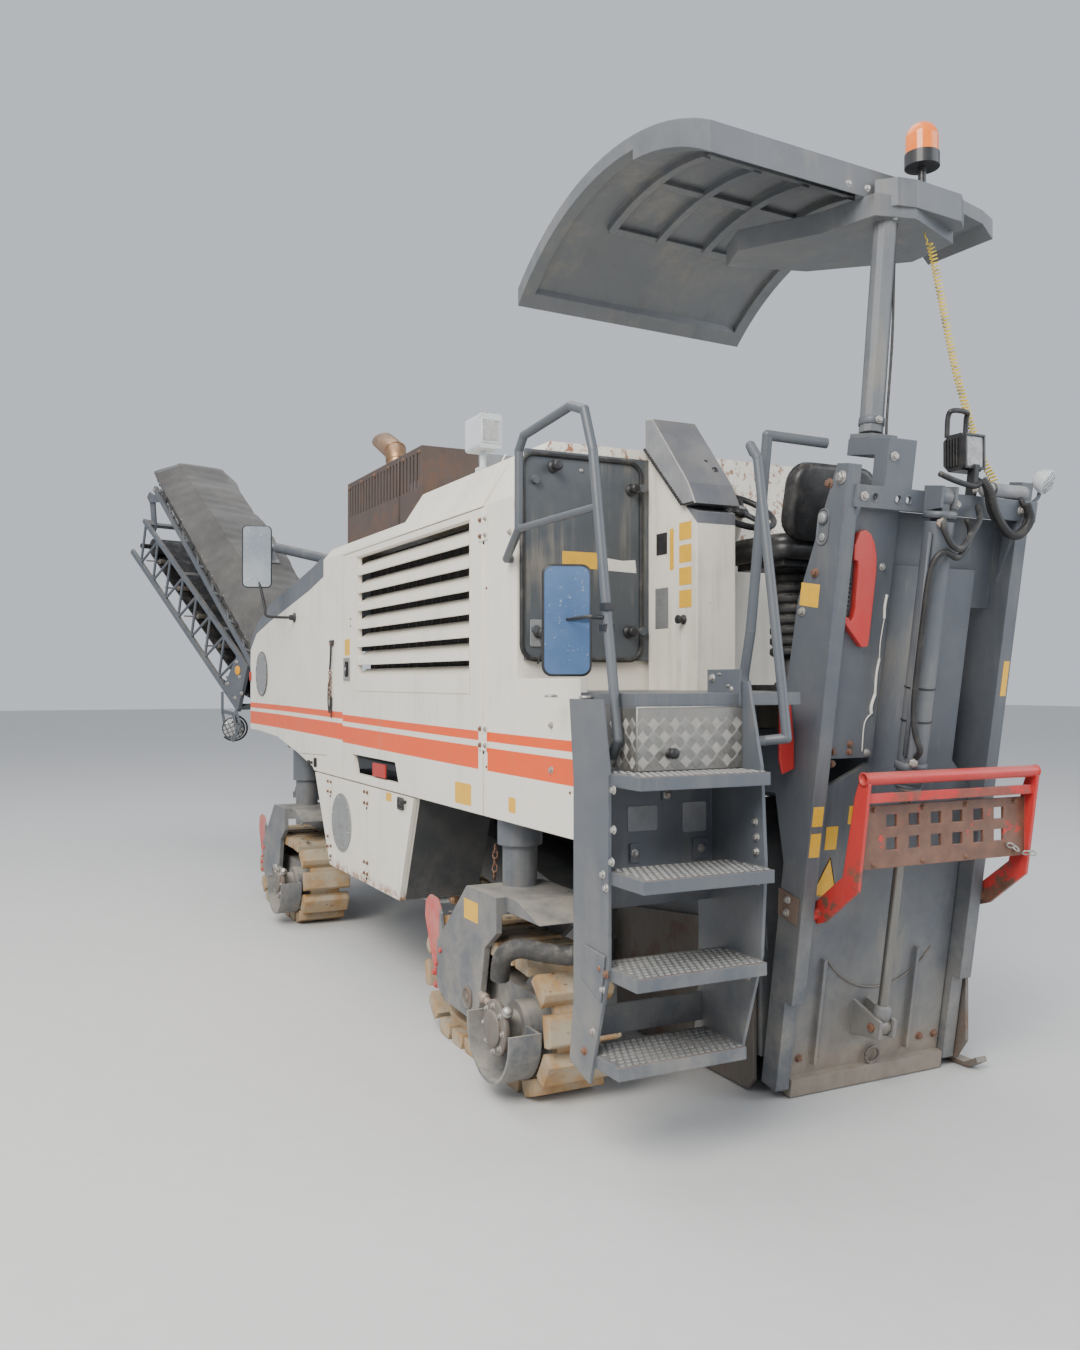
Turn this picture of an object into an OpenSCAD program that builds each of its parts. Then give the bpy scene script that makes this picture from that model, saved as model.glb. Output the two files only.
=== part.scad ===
// Cold planer milling machine on four track units, with a folding loading conveyor.
// Millimetres. +X is forward (towards the conveyor), +Y is left, +Z is up, and z = 0 is the ground.
// Places are measured from the middle of the rear left track, and the whole is then moved by origin_x.

/* [Machine] */
// Distance between the rear and the front track centres
wheelbase = 3530; // [3400:10:3700]
// Distance of a track's middle from the machine's middle
track_y = 805; // [795:5:815]
// Distance of a side panel's outer face from the middle
side_y = 900; // [890:5:910]
// Height of the side panels' lower edge
belly_z = 1037; // [1030:1:1060]
// Height of the hood's bend line
bend_z = 2380; // [2370:5:2400]
// Height of the hood's top at the rear
hood_z = 2610; // [2580:5:2680]
// Height of the operator's deck
deck_z = 1580; // [1560:5:1590]
// Thickness of the hood's sheets and frames
sheet_t = 28; // [20:1:32]

/* [Tracks] */
// Length of a track unit over its pads
track_len = 1330; // [1290:10:1370]
// Height of a track unit over its pads
track_h = 550; // [530:5:560]
// Width of the track pads
pad_w = 300; // [260:5:310]
// Height of a track pad
pad_h = 62; // [50:1:66]
// Number of pads on a track
pad_count = 20; // [18:1:22]
// Width of the roller chain inside the pads
chain_w = 190; // [160:5:210]
// Diameter of a leg's sliding column
leg_d = 150; // [130:5:160]
// Distance of the leg's axis from the machine's middle
leg_y = 770; // [765:5:775]

/* [Milling] */
// Diameter over the cutting tools
drum_d = 980; // [960:5:990]
// Width of the milling drum
drum_w = 820; // [780:5:830]
// Height of the drum's axis
drum_z = 560; // [550:5:580]
// Place of the drum's axis along the machine
drum_x = -280; // [-300:5:-270]
// Place of the drum's middle across the machine
drum_y = -355; // [-360:1:-350]
// Number of cutting tool holders in one turn of a helix
tools_per_turn = 14; // [10:1:16]
// Number of turns of the tool helix
tool_turns = 5; // [4:1:6]
// Lean of the rear scraper from upright, in degrees
rear_lean = 9; // [8:0.5:10]
// Width of the scraper blade
scraper_w = 790; // [770:5:800]
// Height of the wide part of the scraper
scraper_wide_h = 1240; // [1200:10:1280]
// Diameter of the scraper's cylinder
cyl_d = 107; // [90:1:110]
// Diameter of the scraper's piston rod
rod_d = 40; // [30:1:45]

/* [Cab area] */
// Width of the ladder's steps
step_w = 480; // [460:5:490]
// Depth of a ladder step
step_d = 250; // [230:5:260]
// Diameter of the handrail tubes
rail_d = 34; // [28:1:38]
// Diameter of the canopy's mast
mast_d = 88; // [76:1:96]
// Radius of the canopy's arched roof
canopy_r = 1184; // [1150:2:1220]
// Width of the canopy's roof
canopy_w = 1260; // [1220:5:1300]
// Thickness of the canopy's roof
canopy_t = 34; // [26:1:40]
// Diameter of the steering wheel
wheel_d = 300; // [280:5:320]

/* [Conveyor] */
// Length of the conveyor's rear section
conv_rear_len = 3700; // [3600:10:3720]
// Length of the folded front section
conv_front_len = 2720; // [2600:10:2760]
// Width of the conveyor's frame
conv_w = 840; // [820:5:860]
// Depth of the frame below the cover
conv_depth = 190; // [175:5:190]
// Rise of the rear section from level, in degrees
conv_rise = 45; // [44:0.5:46]
// Slew of the conveyor to the left as parked, in degrees
conv_slew = 20; // [15:1:25]
// Angle between the two sections as folded, in degrees
conv_fold = 7; // [6:0.5:7]
// Width of the conveyor's belt
belt_w = 500; // [460:5:540]

/* [Hidden] */
$fn = 32;
// From the rear left track's middle to the middle of the whole machine's box
origin_x = 3329.04;
// From the machine's middle line to the middle of the whole machine's box
origin_y = 192.14;
eps = 0.5;
// Gap between pieces that rest against each other
seat_gap = 0.3;
// Gap between pieces that move past each other
run_gap = 8;

cream = [0.90, 0.87, 0.79];
slate = [0.27, 0.30, 0.34];
red = [0.80, 0.10, 0.09];
black = [0.06, 0.06, 0.07];
tan_pad = [0.72, 0.60, 0.38];
steel = [0.60, 0.61, 0.62];
rust = [0.40, 0.24, 0.17];
tarp = [0.36, 0.35, 0.34];

// Shared forms

// Outline from the XZ plane, pulled along Y from y0 to y1
module slab_y(y0, y1) {
    translate([0, y1, 0]) rotate([90, 0, 0]) linear_extrude(y1 - y0) children();
}

// Outline from the YZ plane, pulled along X from x0 to x1
module slab_x(x0, x1) {
    translate([x0, 0, 0]) rotate([90, 0, 90]) linear_extrude(x1 - x0) children();
}

// Box between two corners
module block(lo, hi) {
    translate(lo) cube(hi - lo);
}

// Round bar between two points
module bar(p, q, d, sides = 32) {
    v = q - p;
    len = norm(v);
    translate(p)
        rotate([0, acos(v[2] / len), atan2(v[1], v[0])])
            cylinder(d = d, h = len, $fn = sides);
}

// Bent round tube through a list of points, with ball corners
module bent_tube(points, d) {
    ball = d * 1.03;
    for (i = [0:len(points) - 2]) {
        bar(points[i], points[i + 1], d, 16);
    }
    for (i = [1:len(points) - 2]) {
        translate(points[i]) sphere(d = ball, $fn = 16);
    }
}

// Points of a capsule outline: straight length, end radius, steps of each round end
function capsule(straight, r, n = 10) = concat(
    [for (i = [0:n]) [straight / 2 + r * cos(-90 + 180 * i / n), r * sin(-90 + 180 * i / n)]],
    [for (i = [0:n]) [-straight / 2 + r * cos(90 + 180 * i / n), r * sin(90 + 180 * i / n)]]
);

// Rectangle with cut corners
function cut_rect(w, h, c) = [
    [-w / 2 + c, -h / 2], [w / 2 - c, -h / 2], [w / 2, -h / 2 + c], [w / 2, h / 2 - c],
    [w / 2 - c, h / 2], [-w / 2 + c, h / 2], [-w / 2, h / 2 - c], [-w / 2, -h / 2 + c]
];

// Swept tube with flat sides along a list of points
function unit(v) = v / norm(v);
function tangent(pts, i) = unit(pts[min(i + 1, len(pts) - 1)] - pts[max(i - 1, 0)]);
module soft_tube(pts, d, sides = 8) {
    up = [0.123, 0.987, 0.05];
    rings = [for (i = [0:len(pts) - 1])
        let(t = tangent(pts, i), a = unit(cross(t, up)), b = cross(t, a))
            for (k = [0:sides - 1])
                pts[i] + d / 2 * (cos(360 * k / sides) * a + sin(360 * k / sides) * b)];
    n = len(pts);
    sides_faces = [for (i = [0:n - 2]) for (k = [0:sides - 1])
        [i * sides + k, i * sides + (k + 1) % sides,
         (i + 1) * sides + (k + 1) % sides, (i + 1) * sides + k]];
    first = [[for (k = [sides - 1:-1:0]) k]];
    last = [[for (k = [0:sides - 1]) (n - 1) * sides + k]];
    polyhedron(points = rings, faces = concat(first, sides_faces, last));
}

// Track units

track_r = track_h / 2;
track_straight = track_len - track_h;
chain_r = track_r - pad_h + 6;
chain_t = 34;
loop_r = track_r - pad_h;
loop_len = 2 * track_straight + 2 * PI * loop_r;

// Place on the loop at a distance s: x, z and the outward angle from +x
function on_loop(s) =
    s < track_straight ? [-track_straight / 2 + s, -loop_r, -90] :
    s < track_straight + PI * loop_r ?
        let(a = -90 + 180 * (s - track_straight) / (PI * loop_r))
            [track_straight / 2 + loop_r * cos(a), loop_r * sin(a), a] :
    s < 2 * track_straight + PI * loop_r ?
        [track_straight / 2 - (s - track_straight - PI * loop_r), loop_r, 90] :
        let(a = 90 + 180 * (s - 2 * track_straight - PI * loop_r) / (PI * loop_r))
            [-track_straight / 2 + loop_r * cos(a), loop_r * sin(a), a];

// One closed track with its pads, at its own middle
module track() {
    pitch = loop_len / pad_count;
    pad_root = pitch * 0.82;
    pad_tip = pitch * 0.66;
    color(tan_pad) {
        slab_y(-chain_w / 2, chain_w / 2)
            difference() {
                polygon(capsule(track_straight, chain_r));
                polygon(capsule(track_straight, chain_r - chain_t));
            }
        for (i = [0:pad_count - 1]) {
            p = on_loop((i + 0.5) * pitch);
            // On the round ends a flat pad is set in, so that its corners stay within the track's height
            set_in = abs(abs(p[2]) - 90) < 0.01 ? 0 : pad_tip * pad_tip / 8 / track_r + 0.3;
            translate([p[0], 0, p[1]]) rotate([0, -p[2], 0]) translate([-set_in, 0, 0])
                slab_y(-pad_w / 2, pad_w / 2)
                    polygon([[-2, -pad_root / 2], [pad_h * 0.55, -pad_root / 2], [pad_h, -pad_tip / 2],
                             [pad_h, pad_tip / 2], [pad_h * 0.55, pad_root / 2], [-2, pad_root / 2]]);
        }
    }
}

// Frame, sprocket, idler and rollers inside a track, at the track's own middle
module track_inside(side) {
    inner_r = chain_r - chain_t - seat_gap;
    plate_t = 22;
    roller_d = 110;
    color(slate) {
        for (x = [-track_straight / 2, track_straight / 2]) {
            translate([x, 0, 0]) rotate([90, 0, 0])
                cylinder(r = inner_r * cos(9), h = chain_w * 0.6, center = true, $fn = 40);
        }
        slab_y(-chain_w / 2, chain_w / 2)
            polygon(capsule(track_straight - 40, inner_r * 0.6));
        for (i = [0:3]) {
            translate([-track_straight * 0.36 + i * track_straight * 0.24, 0, -inner_r + roller_d / 2])
                rotate([90, 0, 0]) cylinder(d = roller_d, h = chain_w * 0.7, center = true);
        }
    }
    drive_motor(side);
}

motor_x = -track_straight / 2;
motor_out = 150;

// Outboard drive motor and its guard, side is 1 on the left and -1 on the right
module drive_motor(side) {
    guard_r = 205;
    guard_t = 14;
    color(steel)
        translate([motor_x, 0, 0]) rotate([-90 * side, 0, 0]) {
            cylinder(d = 190, h = pad_w / 2 + 20);
            cylinder(d = 120, h = pad_w / 2 + motor_out - 30);
        }
    color(slate)
        scale_y(side) slab_y(pad_w / 2 + 6, pad_w / 2 + motor_out - 10)
            translate([motor_x, 0])
                difference() {
                    circle(r = guard_r, $fn = 48);
                    circle(r = guard_r - guard_t, $fn = 48);
                    translate([-guard_r * 1.2, guard_r * 0.1]) square([guard_r * 2.4, guard_r * 2]);
                }
    color(slate)
        scale_y(side) slab_y(pad_w / 2 + 6, pad_w / 2 + 6 + guard_t)
            translate([motor_x, 0])
                intersection() {
                    circle(r = guard_r - 2, $fn = 48);
                    translate([-guard_r, -guard_r]) square([guard_r * 2, guard_r * 1.1]);
                }
}

// Mirror to the right side when side is -1
module scale_y(side) {
    if (side > 0) children();
    else mirror([0, 1, 0]) children();
}

yoke_top = 745;
yoke_t = 70;
side_gap = 6;

// Leg of a track unit: column, top plate, outer plate, red end guard. At the track's own middle, z is real
module leg(side, top_z) {
    plate_t = 26;
    out_y = pad_w / 2 + side_gap;
    col_y = (leg_y - track_y);
    axle_z = track_r;
    plate = [[-235, yoke_top], [75, yoke_top], [160, 670], [300, 545], [425, 440], [425, 235], [330, 190],
             [30, 185], [-60, 260], [-120, 520], [-235, 600]];
    guard = [[365, 330], [385, 290], [450, 270], [500, 310], [560, 420], [610, 520], [600, 590],
             [550, 625], [470, 620], [410, 560], [375, 440]];
    scale_y(side) {
        color(slate) {
            slab_y(out_y, out_y + plate_t) polygon(plate);
            slab_y(-pad_w / 2 - side_gap - plate_t, -pad_w / 2 - side_gap)
                polygon([for (p = plate) [p[0] > 300 ? 300 : p[0], p[1]]]);
            slab_y(-pad_w / 2 - side_gap - plate_t, out_y + plate_t)
                polygon([[-235, yoke_top - yoke_t], [130, yoke_top - yoke_t], [75, yoke_top],
                         [-235, yoke_top]]);
            slab_y(-pad_w / 2 - side_gap - plate_t + 40, out_y - 20)
                polygon([[-540, yoke_top - 60], [-230, yoke_top - 60], [-230, yoke_top], [-330, yoke_top]]);
            translate([0, col_y, yoke_top - 10]) cylinder(d = leg_d, h = top_z - yoke_top + 10);
            translate([180, 0, axle_z]) rotate([90, 0, 0])
                cylinder(d = 90, h = pad_w + 2 * side_gap + 2, center = true);
        }
        color(red)
            slab_y(out_y - 1, out_y + 14) polygon(guard);
    }
    translate([0, 0, track_r]) track_inside(side);
}

leg_top = 1180;
rear_right_x = 1160;

module rear_left_track() {
    translate([0, track_y, track_r]) track();
}
module rear_right_track() {
    translate([rear_right_x, -track_y, track_r]) track();
}
module rear_legs() {
    translate([0, track_y, 0]) leg(1, leg_top);
    translate([rear_right_x, -track_y, 0]) leg(-1, leg_top);
}
module front_left_track() {
    translate([wheelbase, track_y, track_r]) track();
}
module front_right_track() {
    translate([wheelbase, -track_y, track_r]) track();
}
module front_left_leg() {
    translate([wheelbase, track_y, 0]) leg(1, leg_top);
}
module front_right_leg() {
    translate([wheelbase, -track_y, 0]) leg(-1, leg_top);
}

// Chassis

// Collecting conveyor: its ends, its rise and the height of its side plates over that line
chute_from = [290, 352];
chute_to = [4560, 1140];
chute_rise = atan2(chute_to[1] - chute_from[1], chute_to[0] - chute_from[0]);
chute_h = 150;
beam_y = 560;
beam_w = 80;
beam_lo = 1110;
beam_hi = 1390;
frame_back = -780;
frame_front = 4640;
leg_tube_d = leg_d + 44;
leg_fit = 0.05;
leg_tube_lo = leg_top - 260;
leg_tube_hi = 1560;

module chassis_frame() {
    // Cross-members: place, lower face and reach to each side
    chute_end = chute_to[0] - 30;
    chute_top = chute_from[1] + (chute_end - chute_from[0]) * tan(chute_rise) + chute_h / cos(chute_rise);
    wide = side_y - sheet_t - seat_gap;
    cross = [[frame_back, beam_lo + 60, wide], [500, 1270, beam_y], [900, 1270, beam_y], [2100, 1270, beam_y],
             [2250, 1270, wide], [3100, 1270, beam_y], [4000, 1280, wide],
             [chute_end - 80, chute_top + seat_gap, beam_y]];
    legs = [[0, leg_y], [rear_right_x, -leg_y], [wheelbase, leg_y], [wheelbase, -leg_y]];
    color(slate) {
        for (s = [-1, 1]) {
            block([frame_back, s * beam_y - beam_w / 2, beam_lo],
                  [frame_front, s * beam_y + beam_w / 2, beam_hi]);
        }
        for (c = cross) {
            block([c[0], -c[2], c[1]], [c[0] + 80, c[2], beam_hi]);
        }
        // Front plates and the shelf that carries the slewing frame
        for (s = [-1, 1]) {
            block([4400, s * beam_y - 20, shelf_z - 90], [4600, s * beam_y + 20, beam_lo + eps]);
        }
        block([4400, -beam_y, shelf_z - 90], [4500, beam_y, shelf_z]);
        block([4499, -280, shelf_z - 90], [pivot_x + 110, 280, shelf_z]);
        // Bracket that the leg's hose hangs from
        block([-490, beam_y + beam_w / 2 - eps, hose_top], [-370, beam_y + beam_w / 2 + 95, hose_top + 60]);
        difference() {
            union() {
                for (p = legs) {
                    translate([p[0], p[1], leg_tube_lo])
                        cylinder(d = leg_tube_d, h = leg_tube_hi - leg_tube_lo);
                    s = sign(p[1]);
                    block([p[0] - 130, min(s * beam_y, s * leg_y), beam_lo + 20],
                          [p[0] + 130, max(s * beam_y, s * leg_y), beam_hi - 20]);
                }
            }
            for (p = legs) {
                translate([p[0], p[1], leg_tube_lo - eps])
                    cylinder(d = leg_d + 2 * leg_fit, h = leg_top - leg_tube_lo + 20);
            }
        }
        // Towing eyes at the front
        for (s = [-1, 1]) {
            difference() {
                block([frame_front - 10, s * beam_y - 20, beam_lo],
                      [frame_front + 110, s * beam_y + 20, beam_hi - 60]);
                translate([frame_front + 60, s * beam_y, eye_z]) rotate([90, 0, 0])
                    cylinder(r = eye_r, h = 200, center = true);
            }
        }
    }
}
eye_r = 30;
eye_z = beam_lo + 65;
shelf_z = 559.7;

module engine_block() {
    color(steel)
        block([860, -360, beam_hi + seat_gap], [2180, 380, 2250]);
}

// Body panels

door_x0 = 90;
door_x1 = 2210;
panel_back = -817;
hood_back = -250;
nose_front = 4800;
ledge_z = 2460;
step_x = 1240;
low_back_z = 1630;
door_gap = 6;

// Upper edge of the nose's cream sides, from the louvred door forward
nose_start = 2640;
nose_edge = [[2640, 2283], [2998, 2218], [4120, 2068], [4579, 1992], [4800, 1870]];
arch = [[4800, 1235], [4550, 1236], [3900, 1215], [3300, 1130], [2900, 1060]];

// Outline of a side panel seen from the left, without the doors
module side_outline() {
    difference() {
        polygon(concat(
            [[panel_back, belly_z], [2860, belly_z]],
            [for (i = [len(arch) - 1:-1:0]) arch[i]],
            [for (i = [len(nose_edge) - 1:-1:0]) nose_edge[i]],
            [[nose_start, bend_z], [hood_back, bend_z], [hood_back, low_back_z],
             [panel_back + 30, low_back_z]]));
        translate([door_x0, belly_z - 10]) square([door_x1 - door_x0, bend_z + 20 - belly_z]);
    }
}

// Upper hood cross-section, outer size or inner size
module hood_section(inset, top) {
    half = side_y - inset;
    polygon([[-half, bend_z - 60], [half, bend_z - 60], [half, bend_z], [half - 150, top - inset],
             [-half + 150, top - inset], [-half, bend_z]]);
}

module hood_shell() {
    color(cream) {
        for (s = [0, 1]) mirror([0, s, 0])
            slab_y(side_y - sheet_t, side_y) side_outline();
        // Rear hood with chamfered edges
        difference() {
            slab_x(hood_back, step_x) hood_section(0, hood_z);
            slab_x(hood_back + sheet_t, step_x - sheet_t) hood_section(sheet_t, hood_z);
            block([door_x0, -side_y - eps, bend_z - 70], [step_x + eps, side_y + eps, bend_z - 2]);
            block([hood_back + sheet_t, -side_y + sheet_t, bend_z - 70],
                  [step_x - sheet_t, side_y - sheet_t, bend_z + 10]);
        }
        // Lower deck of the hood under the exhaust
        difference() {
            slab_x(step_x - eps, nose_start)
                polygon([[-side_y, bend_z - 4], [side_y, bend_z - 4], [side_y, bend_z + 10],
                         [side_y - 60, ledge_z], [-side_y + 60, ledge_z], [-side_y, bend_z + 10]]);
            slab_x(step_x + sheet_t, nose_start - sheet_t)
                polygon([[-side_y + sheet_t, bend_z - 10], [side_y - sheet_t, bend_z - 10],
                         [side_y - 80, ledge_z - sheet_t], [-side_y + 80, ledge_z - sheet_t]]);
        }
        // Back wall behind the operator's place
        difference() {
            block([hood_back, -side_y + sheet_t, deck_z],
                  [hood_back + sheet_t, side_y - sheet_t, bend_z - 50]);
            block([hood_back - eps, 300, deck_z + 140], [hood_back + sheet_t + eps, 860, 2550]);
        }
    }
}

// Hinged engine door with its louvres, on the left
module louvre_door() {
    open_x = [250, 1920];
    open_z = [1610, 2335];
    vent_x = [1200, 2015];
    vent_z = [1085, 1192];
    vent_slant = 56;
    slots = 7;
    pitch = (open_z[1] - open_z[0]) / slots;
    blade_t = 9;
    lo = belly_z;
    hi = bend_z - door_gap - 2;
    color(cream) {
        difference() {
            slab_y(side_y - sheet_t, side_y)
                polygon([[door_x0 + door_gap, lo], [door_x1 - door_gap, lo], [door_x1 - door_gap, hi],
                         [door_x0 + door_gap, hi]]);
            block([open_x[0], side_y - 60, open_z[0]], [open_x[1], side_y + eps, open_z[1]]);
            // Recess with slanted ends above the side box
            slab_y(side_y - 60, side_y + eps)
                polygon([[vent_x[0], vent_z[0]], [vent_x[1] - vent_slant, vent_z[0]],
                         [vent_x[1], vent_z[1]], [vent_x[0] + vent_slant, vent_z[1]]]);
        }
        for (i = [0:slots - 1]) {
            z = open_z[0] + i * pitch;
            slab_x(open_x[0] - eps, open_x[1] + eps)
                polygon([[side_y, z - 2], [side_y, z + pitch * 0.36], [side_y - blade_t, z + pitch * 0.42],
                         [side_y - 58, z + pitch * 0.78], [side_y - 66, z + pitch * 0.72],
                         [side_y - blade_t - 3, z + pitch * 0.30], [side_y - blade_t - 3, z - 2]]);
        }
    }
}
module louvre_door_left() {
    louvre_door();
}
module louvre_door_right() {
    mirror([0, 1, 0]) louvre_door();
}

// Side boxes below the belly: sheet skirts and the frames of their doors
skirt_z = 478;
skirt_back = 1193;
skirt_hinge = 2476;
skirt_mid = 1740;
skirt_door_t = 24;
module side_skirts() {
    depth = 420;
    shell = 20;
    y1 = side_y - skirt_door_t - seat_gap;
    color(cream) {
        difference() {
            slab_y(y1 - depth, y1)
                polygon([[970, belly_z - seat_gap], [skirt_back, skirt_z], [2490, skirt_z],
                         [2860, belly_z - seat_gap]]);
            slab_y(y1 - depth + shell, y1 + eps)
                polygon([[1010, belly_z - 30], [skirt_back + 22, skirt_z + shell], [2474, skirt_z + shell],
                         [2790, belly_z - 30]]);
        }
        // Fixed corner in front of the doors
        slab_y(y1 - eps, side_y)
            polygon([[skirt_hinge + 8, skirt_z], [2490, skirt_z], [2838, belly_z - 8],
                     [skirt_hinge + 8, belly_z - 8]]);
        mirror([0, 1, 0])
            slab_y(side_y - sheet_t - 180, side_y)
                polygon([[2010, belly_z - seat_gap], [2010, skirt_z], [2490, skirt_z],
                         [2860, belly_z - seat_gap]]);
    }
}
module skirt_door(pts) {
    color(cream)
        slab_y(side_y - skirt_door_t, side_y) polygon(pts);
}
module skirt_door_rear() {
    skirt_door([[972, belly_z - 8], [skirt_back, skirt_z], [skirt_mid - 4, skirt_z],
                [skirt_mid - 4, belly_z - 8]]);
}
module skirt_door_front() {
    skirt_door([[skirt_mid + 4, belly_z - 8], [skirt_mid + 4, skirt_z], [skirt_hinge, skirt_z],
                [skirt_hinge, belly_z - 8]]);
}

// Grey roof of the nose
module nose_roof() {
    top = [[nose_start + seat_gap, 2412], [2960, 2358], [4085, 2200], [4520, 2085], [4726, 1985],
           [4800, 1890]];
    inner = [for (p = nose_edge) [p[0] + (p[0] == nose_start ? seat_gap : 0), p[1] + seat_gap]];
    color(slate)
        difference() {
            slab_y(-side_y, side_y)
                polygon(concat(inner, [for (i = [len(top) - 1:-1:0]) top[i]]));
            slab_y(-side_y + 90, side_y - 90)
                polygon([[nose_start - 10, 2385], [2960, 2330], [4080, 2173], [4510, 2058], [4706, 1962],
                         [4774, 1880], [4774, 1700], [nose_start - 10, 1700]]);
        }
}

module exhaust_guard() {
    x0 = 1275;
    x1 = nose_start - 10;
    y0 = 745;
    wall = 8;
    color(rust)
        difference() {
            block([x0, y0 - 330, ledge_z + seat_gap], [x1, y0, 2880]);
            block([x0 + wall, y0 - 340, ledge_z - eps], [x1 - wall, y0 - wall, 2872]);
            for (i = [0:22]) {
                x = x0 + 60 + i * 56;
                block([x, y0 - 20, 2660], [x + 24, y0 + eps, 2850]);
            }
            translate([pipe_x, pipe_y, 2800]) cylinder(d = pipe_d + 24, h = 100);
        }
}

pipe_d = 135;
pipe_x = 2150;
pipe_y = 580;
module exhaust_pipe() {
    d = pipe_d;
    base = [pipe_x, pipe_y, ledge_z + seat_gap];
    color([0.55, 0.42, 0.30]) {
        translate(base) cylinder(d = d, h = 540);
        translate(base + [0, 0, 540]) rotate([0, 62, 0]) cylinder(d = d, h = 330);
        translate(base + [0, 0, 540]) sphere(d = d * 1.04);
    }
}

module air_box() {
    color(steel)
        difference() {
            block([1275, -450, ledge_z + seat_gap], [2100, 400, 2900]);
            block([1270, -460, 2780], [1420, 410, 2910]);
        }
}

module rear_cover() {
    color(slate) {
        block([hood_back - 22, 285, deck_z + 125], [hood_back - seat_gap, 872, 2565]);
        for (z = [1830, 2440]) {
            for (y = [325, 832]) {
                translate([hood_back - 40, y, z]) rotate([0, 90, 0]) cylinder(d = 36, h = 20);
            }
        }
    }
}

module console() {
    color(cream)
        difference() {
            slab_y(105, 290)
                polygon([[-640, deck_z + seat_gap], [hood_back - 24, deck_z + seat_gap],
                         [hood_back - 24, 2600],
                         [-560, 2330], [-640, 2300]]);
            block([-600, 125, deck_z - eps], [hood_back - 60, 270, 2200]);
        }
    color(slate)
        slab_y(90, 305)
            polygon([[-650, 2330], [-560, 2330.1 + seat_gap], [hood_back - 24, 2600.1 + seat_gap],
                     [hood_back - 24, 2740], [-330, 2730], [-600, 2420]]);
    // Steering column
    color(black) {
        block([hood_back - 60, wheel_c[1] - 50, 2060], [hood_back - seat_gap, wheel_c[1] + 50, 2180]);
        bar([hood_back - 50, wheel_c[1], 2120], wheel_c - [-22, 0, 34], 60);
        translate(wheel_c) rotate([0, wheel_tilt, 0])
            translate([0, 0, -60]) cylinder(d = 46, h = 60 - hub_h / 2 - seat_gap);
    }
}

wheel_c = [-420, -82, 2352];
wheel_tilt = -35;
hub_h = 30;
module steering_wheel() {
    color(black)
        translate(wheel_c) rotate([0, wheel_tilt, 0]) {
            rotate_extrude($fn = 48) translate([wheel_d / 2 - 13, 0]) circle(d = 26, $fn = 16);
            cylinder(d = 70, h = hub_h, center = true);
            for (a = [90, 210, 330]) rotate([0, 0, a])
                translate([20, -16, -6]) cube([wheel_d / 2 - 36, 32, 12]);
        }
}

seat_x = -605;
seat_y = -215;
seat_z = 2215;
module seat() {
    color(black) {
        translate([seat_x, seat_y, seat_z - 105]) linear_extrude(105) polygon(cut_rect(400, 430, 70));
        translate([seat_x - 195, seat_y, seat_z - 20]) rotate([0, -12, 0])
            slab_x(-45, 40) translate([0, 160]) polygon(cut_rect(420, 350, 70));
        translate([seat_x, seat_y, deck_z + seat_gap]) cylinder(d = 110, h = seat_z - 100 - deck_z);
    }
}

// Deck, ladder and rails

deck_back = -930;
module platform_deck() {
    t = 45;
    color(slate) {
        block([deck_back, -side_y + sheet_t + 2, deck_z - t],
              [hood_back - seat_gap, side_y - sheet_t - 2, deck_z]);
        block([-1290, ladder_y0 + seat_gap, deck_z - t], [deck_back + eps, 975, deck_z]);
        block([-1180, 215, deck_z - t], [deck_back + eps, ladder_y0 - 12 - seat_gap, deck_z]);
        // Support under the deck, down to the frame
        block([deck_back + 40, 540, beam_hi + seat_gap], [-720, 620, deck_z - t + eps]);
        block([deck_back + 40, -620, beam_hi + seat_gap], [-720, -540, deck_z - t + eps]);
    }
}

ladder_y0 = 560;
ladder_y1 = ladder_y0 + step_w + 2 * 12;
// Ladder steps: height and place of the nose
steps = [[400, -1320], [705, -1430], [1012, -1470], [1325, -1450]];
module ladder() {
    t = 12;
    outline = [[-1010, 1560], [-1230, 1560], [-1275, 1320], [-1275, 700], [-1150, 300], [-1010, 340],
               [-1040, 560], [-1040, 1290]];
    back = [[-1230, 1620], [-1330, 1620], [-1400, 1340], [-1420, 1030], [-1400, 720], [-1290, 380],
            [-1180, 345], [-1190, 700], [-1200, 1300]];
    color(slate) {
        for (y = [ladder_y0 - t, ladder_y1 - t]) {
            slab_y(y, y + t) polygon(outline);
        }
        slab_y(ladder_y0 - t, ladder_y0) polygon(back);
        // Plate and brace behind the steps
        block([-1120, ladder_y0 - eps, 860], [-1112, ladder_y1 - t + eps, 1290]);
        block([-1060, ladder_y0 - eps, 420], [-1052, ladder_y1 - t + eps, 520]);
    }
    color(steel)
        for (p = steps) {
            difference() {
                block([p[1], ladder_y0 - eps, p[0] - 42], [p[1] + step_d, ladder_y1 - t + eps, p[0]]);
                block([p[1] + 5, ladder_y0 + 4, p[0] - 60], [p[1] + step_d - 5, ladder_y1 - t - 4, p[0] - 5]);
            }
        }
}

module checker_box() {
    color(steel)
        difference() {
            block([-1300, ladder_y0 + seat_gap, 1330], [-1100, 975, deck_z - 45 - seat_gap]);
            block([-1290, ladder_y0 + 10, 1320], [-1090, 965, deck_z - 56]);
        }
}

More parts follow.
